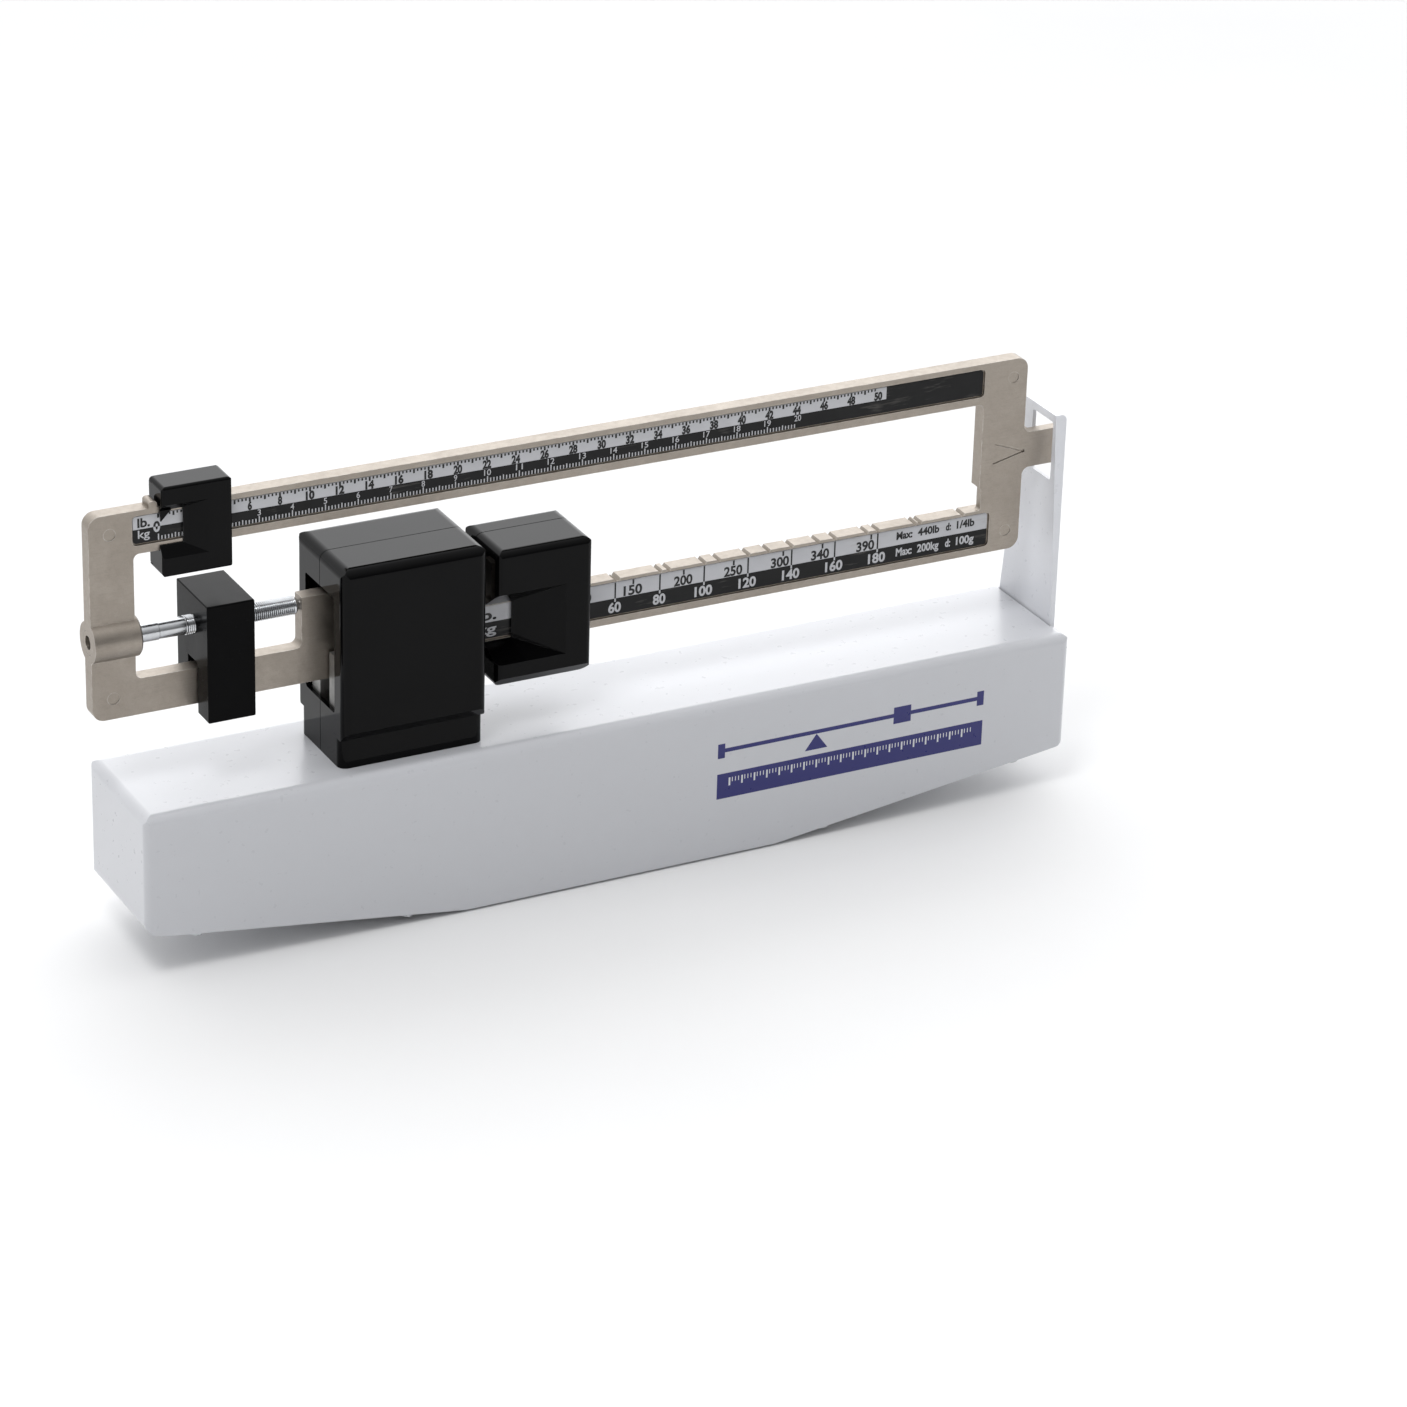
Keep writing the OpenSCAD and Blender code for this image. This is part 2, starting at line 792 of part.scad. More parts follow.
module lower_scale_back() {
    color("whitesmoke")
    translate([0, beam_y, 0]) mirror([0, 1, 0]) scale_plate(lower_scale);
}

module screw_retainer() {
    color("silver")
    translate([0, beam_y, screw_z])
        difference() {
            rod_x(beam_x0, beam_x0 + 2.6, 6);
            rod_x(beam_x0 - 1, beam_x0 + 4, 3.4);
        }
}

// ---- Zero adjuster ----

module adjusting_screw() {
    r = screw_d / 2;
    x0 = beam_x0 + 2.8;
    cone_x = web_x0 - 2.6;
    color("silver")
    translate([0, beam_y, screw_z])
        difference() {
            union() {
                rod_x(x0, cone_x, r);
                translate([cone_x, 0, 0])
                    rotate([0, 90, 0]) cylinder(h = 2.2, r1 = r, r2 = 2.5);
                rod_x(cone_x + 2.2, web_x0 + 5, 2.5);
            }
            span([x0 - 1, -0.7, -r - 1], [x0 + 1.6, 0.7, r + 1]);
        }
}

module counterweight_block() {
    color("black")
    difference() {
        span([counter_x, beam_y - counter_depth / 2, counter_z],
             [counter_x + counter_w, beam_y + counter_depth / 2, counter_z + counter_h]);
        span([counter_x - 1, beam_y - counter_slot_half, counter_z - 1],
             [counter_x + counter_w + 1, beam_y + counter_slot_half,
              counter_z + counter_slot_h]);
        translate([0, beam_y, screw_z])
            rod_x(counter_x - 1, counter_x + counter_w + 1, screw_d / 2 + 0.06);
    }
}

// ---- Reading funnels ----

// A four-sided recess that narrows inwards. face and neck give its left,
// right, bottom and top edges at the outer face and at the beam
module funnel(origin, face, neck, y_face, y_neck) {
    over = (y_neck - y_face) * 0.02;
    intersection() {
        translate([0, 0, origin[1] - 5])
            linear_extrude(100)
                polygon([
                    [origin[0] - 1, y_face - over], [origin[0] + face[1], y_face - over],
                    [origin[0] + neck[1], y_neck], [origin[0] - 1, y_neck]
                ]);
        along_x(origin[0] - 2, origin[0] + 60)
            polygon([
                [y_face - over, origin[1] + face[2]],
                [y_face - over, origin[1] + face[3]],
                [y_neck, origin[1] + neck[3]], [y_neck, origin[1] + neck[2]]
            ]);
    }
}

// ---- Small poise ----

module small_screw_places() {
    for (x = [small_x + 4.5, small_x + small_w - 4.5], z = [small_z + 6, small_z + 41])
        translate([x, 0, z]) children();
}

// The outside of the small poise, with the edges round its front face rounded
module small_form(y0, y1) {
    intersection() {
        along_y(y0 - 5, y1)
            round_rect(small_x, small_x + small_w, small_z, small_z + small_h, small_r);
        translate([0, 0, small_z - 5])
            linear_extrude(small_h + 10)
                round_rect(small_x, small_x + small_w, y0, y1 + 5, small_edge_r);
        along_x(small_x - 5, small_x + small_w + 5)
            round_rect(y0, y1 + 5, small_z, small_z + small_h, small_edge_r);
    }
}

module small_poise_body() {
    y0 = beam_y - small_depth / 2;
    y1 = beam_y + small_depth / 2;
    gap_y = beam_t / 2 + slide_gap;
    plate_y = beam_y + gap_y;
    color("black")
    difference() {
        union() {
            difference() {
                small_form(y0, y1);
                funnel([small_x, small_z], small_funnel[0], small_funnel[1],
                       y0, beam_y - gap_y + 0.01);
            }
            along_y(beam_y - gap_y - 1.2, beam_y - gap_y)
                polygon([
                    [small_x, small_z + 33], [small_x + 5.5, small_z + 33],
                    [small_x + 0.3, small_z + 27.6]
                ]);
        }
        span([small_x - 1, beam_y - gap_y, upper_z0 - slide_gap],
             [small_x + small_w + 1, y1 + 1, beam_z1 + slide_gap]);
        span([small_x + 8, beam_y - 3, beam_z1],
             [small_x + small_w - 8, beam_y + 3, beam_z1 + 2.6]);
        span([small_x - 1, plate_y, small_z + 2],
             [small_x + small_w + 1, y1 + 1, small_z + small_h - 1.5]);
        small_screw_places() rod_y(beam_y - 4, y1, 1.25);
    }
}

module small_poise_back() {
    plate_y = beam_y + beam_t / 2 + slide_gap + 0.02;
    y1 = beam_y + small_depth / 2;
    color("black")
    difference() {
        along_y(plate_y, y1)
            round_rect(small_x, small_x + small_w, small_z + 2 + fit,
                       small_z + small_h - 1.5 - fit, 0.5);
        translate([0, 2 * beam_y, 0])
            mirror([0, 1, 0])
                funnel([small_x, small_z], small_funnel[0], small_funnel[1],
                       beam_y - small_depth / 2, beam_y - beam_t / 2 - slide_gap + 0.5);
        small_screw_places() {
            rod_y(plate_y - 1, y1 + 1, 1.3);
            rod_y(y1 - 1.4, y1 + 1, 2.4);
        }
    }
}

module small_poise_spring() {
    mid = small_x + small_w / 2;
    color("silver")
    along_y(beam_y - 2.5, beam_y + 2.5)
        polygon([
            [mid - 9, beam_z1 + 2.5], [mid - 9, beam_z1 + 2.1],
            [mid - 2, beam_z1 + 0.4], [mid + 2, beam_z1 + 0.4],
            [mid + 9, beam_z1 + 2.1], [mid + 9, beam_z1 + 2.5],
            [mid + 2, beam_z1 + 0.8], [mid - 2, beam_z1 + 0.8]
        ]);
}

module small_poise_screws() {
    y1 = beam_y + small_depth / 2;
    color("dimgray")
    small_screw_places() {
        rod_y(beam_y - 2, y1 - 1.4, 1.2);
        rod_y(y1 - 1.4, y1 - 0.1, 2.2);
    }
}

// ---- Large poise ----

// Front view of the large poise
module large_outline() {
    round_rect(large_x, large_x + large_w, large_z, large_z + large_h, large_r);
}

// Plan of the large poise from one Y to another, its upright edges rounded
module large_plan(y0, y1) {
    translate([0, 0, large_z - 5])
        linear_extrude(large_h + 10)
            round_rect(large_x, large_x + large_w, y0, y1, large_plan_r);
}

// The shut line between the two halves, a shallow groove all round
module large_seam() {
    along_y(large_seam_y - seam_w / 2, large_seam_y + seam_w / 2)
        difference() {
            translate([large_x - 1, large_z - 1]) square([large_w + 2, large_h + 2]);
            round_rect(large_x + seam_depth, large_x + large_w - seam_depth,
                       large_z + seam_depth, large_z + large_h - seam_depth,
                       large_r - seam_depth);
        }
}

module large_screw_places() {
    for (x = large_screw_x, z = large_screw_z)
        translate([x, 0, z]) children();
}

// The space for both zinc weights
module weight_pockets(clear) {
    span([weight_x[0] - clear, large_front_y + 4, large_z + 53.5 - clear],
         [weight_x[1] + clear, large_seam_y + 8 + clear, large_z + 68.5 + clear]);
    span([weight_x[0] - clear, large_front_y + 8, large_z + 3 - clear],
         [weight_x[1] + clear, large_seam_y + 8 + clear, large_z + 11 + clear]);
}

module large_poise_front() {
    gap_y = beam_t / 2 + slide_gap;
    top = large_z + large_h;
    color("black")
    difference() {
        intersection() {
            along_y(large_front_y - 5, large_seam_y) large_outline();
            large_plan(large_front_y, large_seam_y + 10);
            along_x(large_x - 5, large_x + large_w + 5) {
                polygon([
                    [large_seam_y + 5, large_z], [large_seam_y + 5, top],
                    [large_front_y + large_edge_r, top], [large_front_y, top - large_edge_r],
                    [large_front_y, large_z + large_chamfer],
                    [large_front_y + large_chamfer, large_z]
                ]);
                translate([large_front_y + large_edge_r, top - large_edge_r])
                    circle(large_edge_r);
            }
        }
        funnel([large_x, large_z], large_funnel[0], large_funnel[1],
               large_front_y, beam_y - gap_y + 0.01);
        span([large_x - 1, beam_y - gap_y, beam_z0 - slide_gap],
             [large_x + large_w + 1, large_seam_y + 1, lower_z1 + 4.5]);
        weight_pockets(0.1);
        large_seam();
        large_screw_places() rod_y(-8, large_seam_y + 1, m3_r + fit);
    }
}

module large_poise_rear() {
    gap_y = beam_t / 2 + slide_gap;
    y1 = large_front_y + large_depth;
    top = large_z + large_h;
    color("black")
    difference() {
        union() {
            intersection() {
                along_y(large_seam_y, y1 + 5) large_outline();
                large_plan(large_seam_y - 10, y1);
                along_x(large_x - 5, large_x + large_w + 5) {
                    polygon([
                        [large_seam_y - 5, large_z], [y1 - large_edge_r, large_z],
                        [y1, large_z + large_edge_r], [y1, top - large_edge_r],
                        [y1 - large_edge_r, top], [large_seam_y - 5, top]
                    ]);
                    for (z = [large_z + large_edge_r, top - large_edge_r])
                        translate([y1 - large_edge_r, z]) circle(large_edge_r);
                }
            }
            span([large_x, beam_y + gap_y, beam_z0 - slide_gap + fit],
                 [large_x + large_w, large_seam_y + 0.01, lower_z1 + 4.5 - fit]);
        }
        translate([0, beam_y + gap_y, 0])
            mirror([0, 1, 0])
                translate([0, -beam_y - gap_y, 0])
                    funnel([large_x, large_z], large_funnel[0], large_funnel[1],
                           2 * beam_y + 2 * gap_y - y1, beam_y + gap_y + 0.01);
        weight_pockets(0.1);
        large_seam();
        large_screw_places() {
            rod_y(large_seam_y - 1, y1, m3_r + 0.1);
            rod_y(y1 - 2.4, y1 + 1, 3);
        }
    }
}

module large_poise_detent() {
    mid = large_x + large_w / 2;
    leaf_z = lower_z1 + 4.5;
    color("silver")
    along_y(beam_y - 2.5, beam_y + 2.5)
        polygon([
            [mid - 13, leaf_z], [mid - 13, leaf_z - 0.5], [mid - 2.2, leaf_z - 0.5],
            [mid - 0.4, lower_z1 + 0.4], [mid + 0.4, lower_z1 + 0.4],
            [mid + 2.2, leaf_z - 0.5], [mid + 13, leaf_z - 0.5], [mid + 13, leaf_z]
        ]);
}

module large_poise_upper_weight() {
    color("gray")
    span([weight_x[0], large_front_y + 4.1, large_z + 53.5],
         [weight_x[1], large_seam_y + 8, large_z + 68.5]);
}

module large_poise_lower_weight() {
    color("gray")
    span([weight_x[0], large_front_y + 8.1, large_z + 3],
         [weight_x[1], large_seam_y + 8, large_z + 11]);
}

module large_poise_screws() {
    y1 = large_front_y + large_depth;
    color("dimgray")
    large_screw_places() {
        rod_y(-6, y1 - 2.4, m3_r);
        rod_y(y1 - 2.4, y1 - 0.3, 2.8);
    }
}

// ---- Load hanger ----

module load_stirrup() {
    eye = [[-6, -11], [6, -11], [6, -3.4], [0, 0.1], [-6, -3.4]];
    color("silver")
    difference() {
        union() {
            both_faces()
                along_y(strap_in, strap_in + strap_t) {
                    round_rect(load_x - 10, load_x + 10, edge_z - 16, edge_z + 11, 5);
                    translate([load_x - strap_half_w, strap_z0])
                        square([2 * strap_half_w, edge_z - 14 - strap_z0]);
                }
            span([load_x - 8, beam_y - strap_in - strap_t, strap_z0],
                 [load_x + 8, beam_y + strap_in + strap_t, strap_z0 + 3]);
        }
        along_y(beam_y - strap_in - 5, beam_y + strap_in + 5)
            translate([load_x, edge_z]) polygon(eye);
        translate([load_x, beam_y, strap_z0 - 1]) cylinder(h = 5, r = rod_r + fit);
    }
}

module draft_rod() {
    color("silver")
    translate([load_x, beam_y, rod_z0]) {
        cylinder(h = rod_end_h + 1, r = rod_end_r);
        translate([0, 0, rod_end_h]) cylinder(h = rod_h - rod_end_h, r = rod_r);
    }
}

module draft_nuts() {
    color("silver")
    for (z = [strap_z0 - 5, strap_z0 + 3])
        translate([load_x, beam_y, z])
            difference() {
                cylinder(h = 5, r = 5.8, $fn = 6);
                translate([0, 0, -1]) cylinder(h = 7, r = rod_r + fit);
            }
}

housing_shell();
bottom_cover();
bottom_cover_screws();
stop_bracket();
stop_bracket_screws();
stop_bracket_nuts();
fulcrum_stand();
stand_bolts();
fulcrum_bearings();
bearing_guards();
guard_screws();
cover_front();
cover_rear();
cover_top_screws();
cover_base_screws();
beam_casting();
fulcrum_pivot();
load_pivot();
upper_scale_front();
upper_scale_back();
lower_scale_front();
lower_scale_back();
screw_retainer();
adjusting_screw();
counterweight_block();
small_poise_body();
small_poise_back();
small_poise_spring();
small_poise_screws();
large_poise_front();
large_poise_rear();
large_poise_detent();
large_poise_upper_weight();
large_poise_lower_weight();
large_poise_screws();
load_stirrup();
draft_rod();
draft_nuts();
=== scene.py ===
import json
import math

import bmesh
import bpy
import numpy as np
from mathutils import Matrix, Vector


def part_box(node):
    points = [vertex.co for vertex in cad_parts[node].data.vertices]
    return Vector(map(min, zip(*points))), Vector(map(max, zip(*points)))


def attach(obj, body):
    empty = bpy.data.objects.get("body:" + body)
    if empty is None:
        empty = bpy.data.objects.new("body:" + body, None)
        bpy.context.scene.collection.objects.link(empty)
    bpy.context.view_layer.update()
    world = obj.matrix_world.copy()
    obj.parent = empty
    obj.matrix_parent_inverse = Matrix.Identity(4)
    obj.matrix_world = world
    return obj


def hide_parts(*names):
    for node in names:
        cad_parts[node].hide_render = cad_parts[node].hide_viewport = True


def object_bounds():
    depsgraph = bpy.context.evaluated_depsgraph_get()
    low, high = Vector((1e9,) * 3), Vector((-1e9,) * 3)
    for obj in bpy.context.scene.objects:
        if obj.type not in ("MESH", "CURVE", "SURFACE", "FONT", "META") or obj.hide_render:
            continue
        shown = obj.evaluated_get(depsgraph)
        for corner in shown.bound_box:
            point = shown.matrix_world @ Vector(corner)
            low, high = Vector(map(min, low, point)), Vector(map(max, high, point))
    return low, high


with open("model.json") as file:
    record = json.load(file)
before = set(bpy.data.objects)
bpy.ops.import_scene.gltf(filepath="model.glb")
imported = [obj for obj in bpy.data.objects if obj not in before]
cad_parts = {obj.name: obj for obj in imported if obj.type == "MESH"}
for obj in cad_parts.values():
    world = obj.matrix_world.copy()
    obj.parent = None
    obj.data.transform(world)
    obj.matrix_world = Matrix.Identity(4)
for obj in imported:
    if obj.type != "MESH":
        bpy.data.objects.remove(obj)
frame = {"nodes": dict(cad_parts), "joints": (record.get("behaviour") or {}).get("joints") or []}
CAD_LOW, CAD_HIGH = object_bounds()
NODES = frame["nodes"]
JOINTS = {j["name"]: j for j in frame["joints"]}
SCENE = bpy.context.scene
MM = 0.001


# ---- Camera ----

SENSOR_MM = 36


def make_camera(aim, azimuth, elevation, roll, distance, lens):
    """A camera aimed at a point from an azimuth and elevation, then rolled. Angles are in degrees."""
    a, e, r = (math.radians(x) for x in (azimuth, elevation, roll))
    back = Vector((math.sin(a) * math.cos(e), -math.cos(a) * math.cos(e), math.sin(e)))
    right = Vector((math.cos(a), math.sin(a), 0))
    up = back.cross(right)
    x_axis = right * math.cos(r) + up * math.sin(r)
    y_axis = up * math.cos(r) - right * math.sin(r)
    data = bpy.data.cameras.new("camera")
    data.lens, data.sensor_width = lens, SENSOR_MM
    data.clip_start, data.clip_end = 0.05, 60
    cam = bpy.data.objects.new("camera", data)
    turn = Matrix((x_axis, y_axis, back)).transposed().to_4x4()
    cam.matrix_world = Matrix.Translation(Vector(aim) + back * distance) @ turn
    SCENE.collection.objects.link(cam)
    SCENE.camera = cam


make_camera(aim=(0.0449, -0.0296, 0.0841), azimuth=-28.235, elevation=25.636,
            roll=1.751, distance=2.5, lens=129.99)


# ---- Materials ----

class Look:
    """A Principled material, built up node by node on the row frame's coordinates.

    The coordinates move with each body, so the marks on a piece stay where they are when it moves.
    """

    # Dot products of the softened and the true normal, where an edge's mark starts and is full
    FLAT_DOT, EDGE_DOT = 0.995, 0.85

    def __init__(self, name, **sockets):
        self.mat = bpy.data.materials.new(name)
        self.mat.use_nodes = True
        self.tree = self.mat.node_tree
        self.bsdf = self.tree.nodes["Principled BSDF"]
        self.coords = self.node("ShaderNodeTexCoord").outputs["Object"]
        self.normal = None
        for key, value in sockets.items():
            self.bsdf.inputs[key.replace("_", " ")].default_value = value

    def node(self, kind, inputs=None, **props):
        made = self.tree.nodes.new(kind)
        for key, value in props.items():
            setattr(made, key, value)
        for key, value in (inputs or {}).items():
            if isinstance(value, bpy.types.NodeSocket):
                self.tree.links.new(value, made.inputs[key])
            else:
                made.inputs[key].default_value = value
        return made

    def noise(self, size_mm, detail=3.0, roughness=0.55, stretch=(1, 1, 1)):
        """Noise from 0 to 1 with features of size_mm. stretch makes them longer along an axis."""
        scale = [1 / (size_mm * MM * s) for s in stretch]
        place = self.node("ShaderNodeMapping", {"Vector": self.coords, "Scale": scale})
        return self.node("ShaderNodeTexNoise", {
            "Vector": place.outputs[0], "Scale": 1.0,
            "Detail": detail, "Roughness": roughness}).outputs["Fac"]

    def specks(self, spacing_mm, radius):
        """1 at scattered small dots and 0 elsewhere. radius is a share of the spacing."""
        place = self.node("ShaderNodeMapping", {
            "Vector": self.coords, "Scale": [1 / (spacing_mm * MM)] * 3})
        far = self.node("ShaderNodeTexVoronoi", {
            "Vector": place.outputs[0], "Scale": 1.0}).outputs["Distance"]
        return self.spread(far, radius, radius * 0.5)

    def math(self, kind, a, b=0.0):
        return self.node("ShaderNodeMath", {0: a, 1: b}, operation=kind).outputs[0]

    def spread(self, value, low, high, to_low=0.0, to_high=1.0):
        """The value stretched from low..high to to_low..to_high, and held within that."""
        return self.node("ShaderNodeMapRange", {
            "Value": value, "From Min": low, "From Max": high,
            "To Min": to_low, "To Max": to_high}).outputs["Result"]

    def mix(self, share, a, b):
        """The colour a where share is 0 and b where it is 1."""
        def colour(c):
            return c if isinstance(c, bpy.types.NodeSocket) else (*c, 1.0)
        return self.node("ShaderNodeMix", {0: share, 6: colour(a), 7: colour(b)},
                         data_type="RGBA").outputs[2]

    def bump(self, height, depth_mm):
        inputs = {"Height": height, "Distance": depth_mm * MM, "Strength": 1.0}
        if self.normal is not None:
            inputs["Normal"] = self.normal
        self.normal = self.node("ShaderNodeBump", inputs).outputs["Normal"]

    def edges(self, radius_mm):
        """1 near sharp edges and 0 on flat faces."""
        soft = self.node("ShaderNodeBevel", {"Radius": radius_mm * MM}, samples=6)
        true = self.node("ShaderNodeNewGeometry").outputs["Normal"]
        dot = self.node("ShaderNodeVectorMath",
                        {0: soft.outputs[0], 1: true}, operation="DOT_PRODUCT")
        return self.spread(dot.outputs["Value"], self.FLAT_DOT, self.EDGE_DOT)

    def axis(self, name):
        split = self.node("ShaderNodeSeparateXYZ", {0: self.coords})
        return split.outputs[name]

    def within(self, value, low_mm, high_mm):
        """1 where the value lies between two limits, given in millimetres."""
        above = self.math("GREATER_THAN", value, low_mm * MM)
        return self.math("MULTIPLY", above, self.math("LESS_THAN", value, high_mm * MM))

    def finish(self, colour, roughness):
        self.tree.links.new(colour, self.bsdf.inputs["Base Color"])
        self.tree.links.new(roughness, self.bsdf.inputs["Roughness"])
        if self.normal is not None:
            self.tree.links.new(self.normal, self.bsdf.inputs["Normal"])
        return self.mat


def scaled(colour, factor):
    return tuple(c * factor for c in colour)


def paint(name, base, badge=False):
    """Stove-enamelled sheet metal: orange peel, faint clouding and thin paint on the edges."""
    look = Look(name, IOR=1.5, Coat_Weight=0.15, Coat_Roughness=0.12)
    cloud = look.noise(9, detail=5)
    colour = look.mix(look.spread(cloud, 0.2, 0.8), scaled(base, 0.975), base)
    speckle = look.noise(0.5, detail=1)
    colour = look.mix(look.spread(speckle, 0.35, 0.65, 0.0, 0.6), colour,
                      scaled(base, 0.96))
    worn = look.math("MULTIPLY", look.edges(0.6), look.spread(look.noise(5), 0.4, 0.7))
    colour = look.mix(look.math("MULTIPLY", worn, 0.12), colour, (0.50, 0.50, 0.51))
    if badge:
        colour = badge_print(look, colour)
    look.bump(look.noise(2.2, detail=0), 0.0012)
    look.bump(speckle, 0.0008)
    rough = look.spread(look.noise(4, detail=4), 0.2, 0.8, 0.26, 0.32)
    return look.finish(colour, rough)


# The badge on the housing's front, in mm of the row frame: left, right, bottom, top
BADGE_X0, BADGE_X1 = 50.4, 202.4
BAND = (BADGE_X0, BADGE_X1, 32.8, 46.6)
BEAM_Z0, BEAM_Z1 = 58.2, 60.4
BEAM_POISE = (150, 160, 54.6, 63.8)
BEAM_STOP_W, BEAM_STOP_Z = 4, (55.2, 63.2)
PIVOT_X, PIVOT_FOOT_Z, PIVOT_LEAN = 106, 49.6, 0.75
RULE_ZERO, RULE_X, RULE_TOP = 57, (56.9, 196.5), 43.8
# Of the long and the fine ticks: step, width and bottom
RULE_TICKS = ((7, 0.9, 39.4), (1.75, 0.45, 41.4))
PRINT_REACH = 0.2 * MM
NAVY, BADGE_WHITE = (0.007, 0.008, 0.145), (0.7, 0.71, 0.73)


def badge_print(look, colour):
    """A plain navy graphic on the housing's front: a beam on its fulcrum over a ruled band."""
    x, z = look.axis("X"), look.axis("Z")
    front = look.math("LESS_THAN", look.axis("Y"),
                      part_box("housing_shell")[0].y + PRINT_REACH)

    def boxed(x0, x1, z0, z1):
        return look.math("MULTIPLY", look.within(x, x0, x1), look.within(z, z0, z1))

    def either(*masks):
        joined = masks[0]
        for mask in masks[1:]:
            joined = look.math("MAXIMUM", joined, mask)
        return joined

    def ticks(step, width, bottom):
        along = look.math("MODULO", look.math("SUBTRACT", x, RULE_ZERO * MM), step * MM)
        return look.math("MULTIPLY", look.math("LESS_THAN", along, width * MM),
                         boxed(*RULE_X, bottom, RULE_TOP))

    from_pivot = look.math("ABSOLUTE", look.math("SUBTRACT", x, PIVOT_X * MM))
    half_width = look.math("MULTIPLY", look.math("SUBTRACT", BEAM_Z0 * MM, z), PIVOT_LEAN)
    pivot = look.math("MULTIPLY", look.math("LESS_THAN", from_pivot, half_width),
                      look.within(z, PIVOT_FOOT_Z, BEAM_Z0))
    navy = either(boxed(*BAND), boxed(BADGE_X0, BADGE_X1, BEAM_Z0, BEAM_Z1),
                  boxed(*BEAM_POISE), pivot,
                  boxed(BADGE_X0, BADGE_X0 + BEAM_STOP_W, *BEAM_STOP_Z),
                  boxed(BADGE_X1 - BEAM_STOP_W, BADGE_X1, *BEAM_STOP_Z))
    colour = look.mix(look.math("MULTIPLY", navy, front), colour, NAVY)
    tick = either(*(ticks(*kind) for kind in RULE_TICKS))
    return look.mix(look.math("MULTIPLY", tick, front), colour, BADGE_WHITE)


def nickel():
    """Satin nickel plate on a die casting: sand grain, polishing lines and bright rubbed edges."""
    look = Look("beam_nickel", Metallic=1.0)
    base, dark = (0.375, 0.334, 0.290), (0.335, 0.297, 0.256)
    colour = look.mix(look.spread(look.noise(26, detail=4), 0.35, 0.65), dark, base)
    grain = look.noise(0.4, detail=3, roughness=0.7)
    colour = look.mix(look.spread(grain, 0.5, 0.72, 0.0, 0.5), colour, (0.22, 0.20, 0.175))
    sanded = look.noise(0.6, detail=3, roughness=0.6, stretch=(9, 1, 1))
    colour = look.mix(look.spread(sanded, 0.5, 0.75, 0.0, 0.4), colour, (0.28, 0.255, 0.225))
    worn = look.math("MULTIPLY", look.edges(0.5), look.spread(look.noise(4), 0.35, 0.6))
    colour = look.mix(look.math("MULTIPLY", worn, 0.7), colour, (0.72, 0.69, 0.65))
    look.bump(grain, 0.022)
    look.bump(sanded, 0.014)
    look.bump(look.noise(9, detail=2), 0.02)
    rough = look.spread(look.noise(2.5, detail=4), 0.3, 0.7, 0.38, 0.50)
    return look.finish(colour, rough)


def plated(name, base, rough_low, rough_high, lines=(1, 1, 1), mottle=1.0):
    """Turned and plated steel, with drawing or turning lines along one axis."""
    look = Look(name, Metallic=1.0)
    colour = look.mix(look.spread(look.noise(3, detail=4), 0.35, 0.65),
                      scaled(base, 1 - 0.14 * mottle), base)
    stain = look.spread(look.noise(11, detail=3), 0.55, 0.75, 0.0, 0.4 * mottle)
    colour = look.mix(stain, colour, (base[0] * 0.86, base[1] * 0.82, base[2] * 0.72))
    worn = look.math("MULTIPLY", look.edges(0.25), 0.5)
    colour = look.mix(worn, colour, (0.86, 0.87, 0.88))
    look.bump(look.noise(0.18, detail=2, stretch=lines), 0.004)
    rough = look.spread(look.noise(1.2, detail=3), 0.3, 0.7, rough_low, rough_high)
    return look.finish(colour, rough)


def casting(name, base, metallic, grain_mm, depth_mm):
    """A plain casting: granular skin, cloudy tone, edges rubbed lighter."""
    look = Look(name, Metallic=metallic)
    colour = look.mix(look.spread(look.noise(8, detail=5), 0.35, 0.65),
                      scaled(base, 0.8), base)
    grain = look.noise(grain_mm, detail=4, roughness=0.7)
    colour = look.mix(look.spread(grain, 0.5, 0.75, 0.0, 0.4), colour, scaled(base, 0.6))
    worn = look.math("MULTIPLY", look.edges(0.4), 0.5)
    colour = look.mix(worn, colour, tuple(min(1.0, c * 1.4) for c in base))
    look.bump(grain, depth_mm)
    rough = look.spread(look.noise(3, detail=3), 0.3, 0.7, 0.45, 0.62)
    return look.finish(colour, rough)


def plastic(name, base, ior, rough_low, rough_high, texture_mm):
    """Moulded black plastic: faint flow marks, hairlines, dust and slightly greyed edges."""
    look = Look(name, IOR=ior)
    colour = look.mix(look.spread(look.noise(22, detail=4), 0.35, 0.65),
                      scaled(base, 0.8), scaled(base, 1.15))
    dust = look.math("MULTIPLY", look.specks(2.6, 0.06),
                     look.spread(look.noise(14), 0.5, 0.65))
    colour = look.mix(look.math("MULTIPLY", dust, 0.05), colour, (0.30, 0.29, 0.28))
    worn = look.math("MULTIPLY", look.edges(0.45), look.spread(look.noise(2.5), 0.4, 0.65))
    colour = look.mix(look.math("MULTIPLY", worn, 0.06), colour, (0.30, 0.30, 0.30))
    look.bump(look.noise(0.4, detail=2), texture_mm)
    look.bump(look.noise(0.25, detail=1, stretch=(40, 3, 1)), texture_mm * 0.4)
    look.bump(look.noise(16, detail=1), 0.02)
    rough = look.spread(look.noise(6, detail=5, roughness=0.65), 0.3, 0.7,
                        rough_low, rough_high)
    return look.finish(colour, rough)


WHITE_INK, BLACK_INK = (0.57, 0.575, 0.60), (0.007, 0.007, 0.0075)


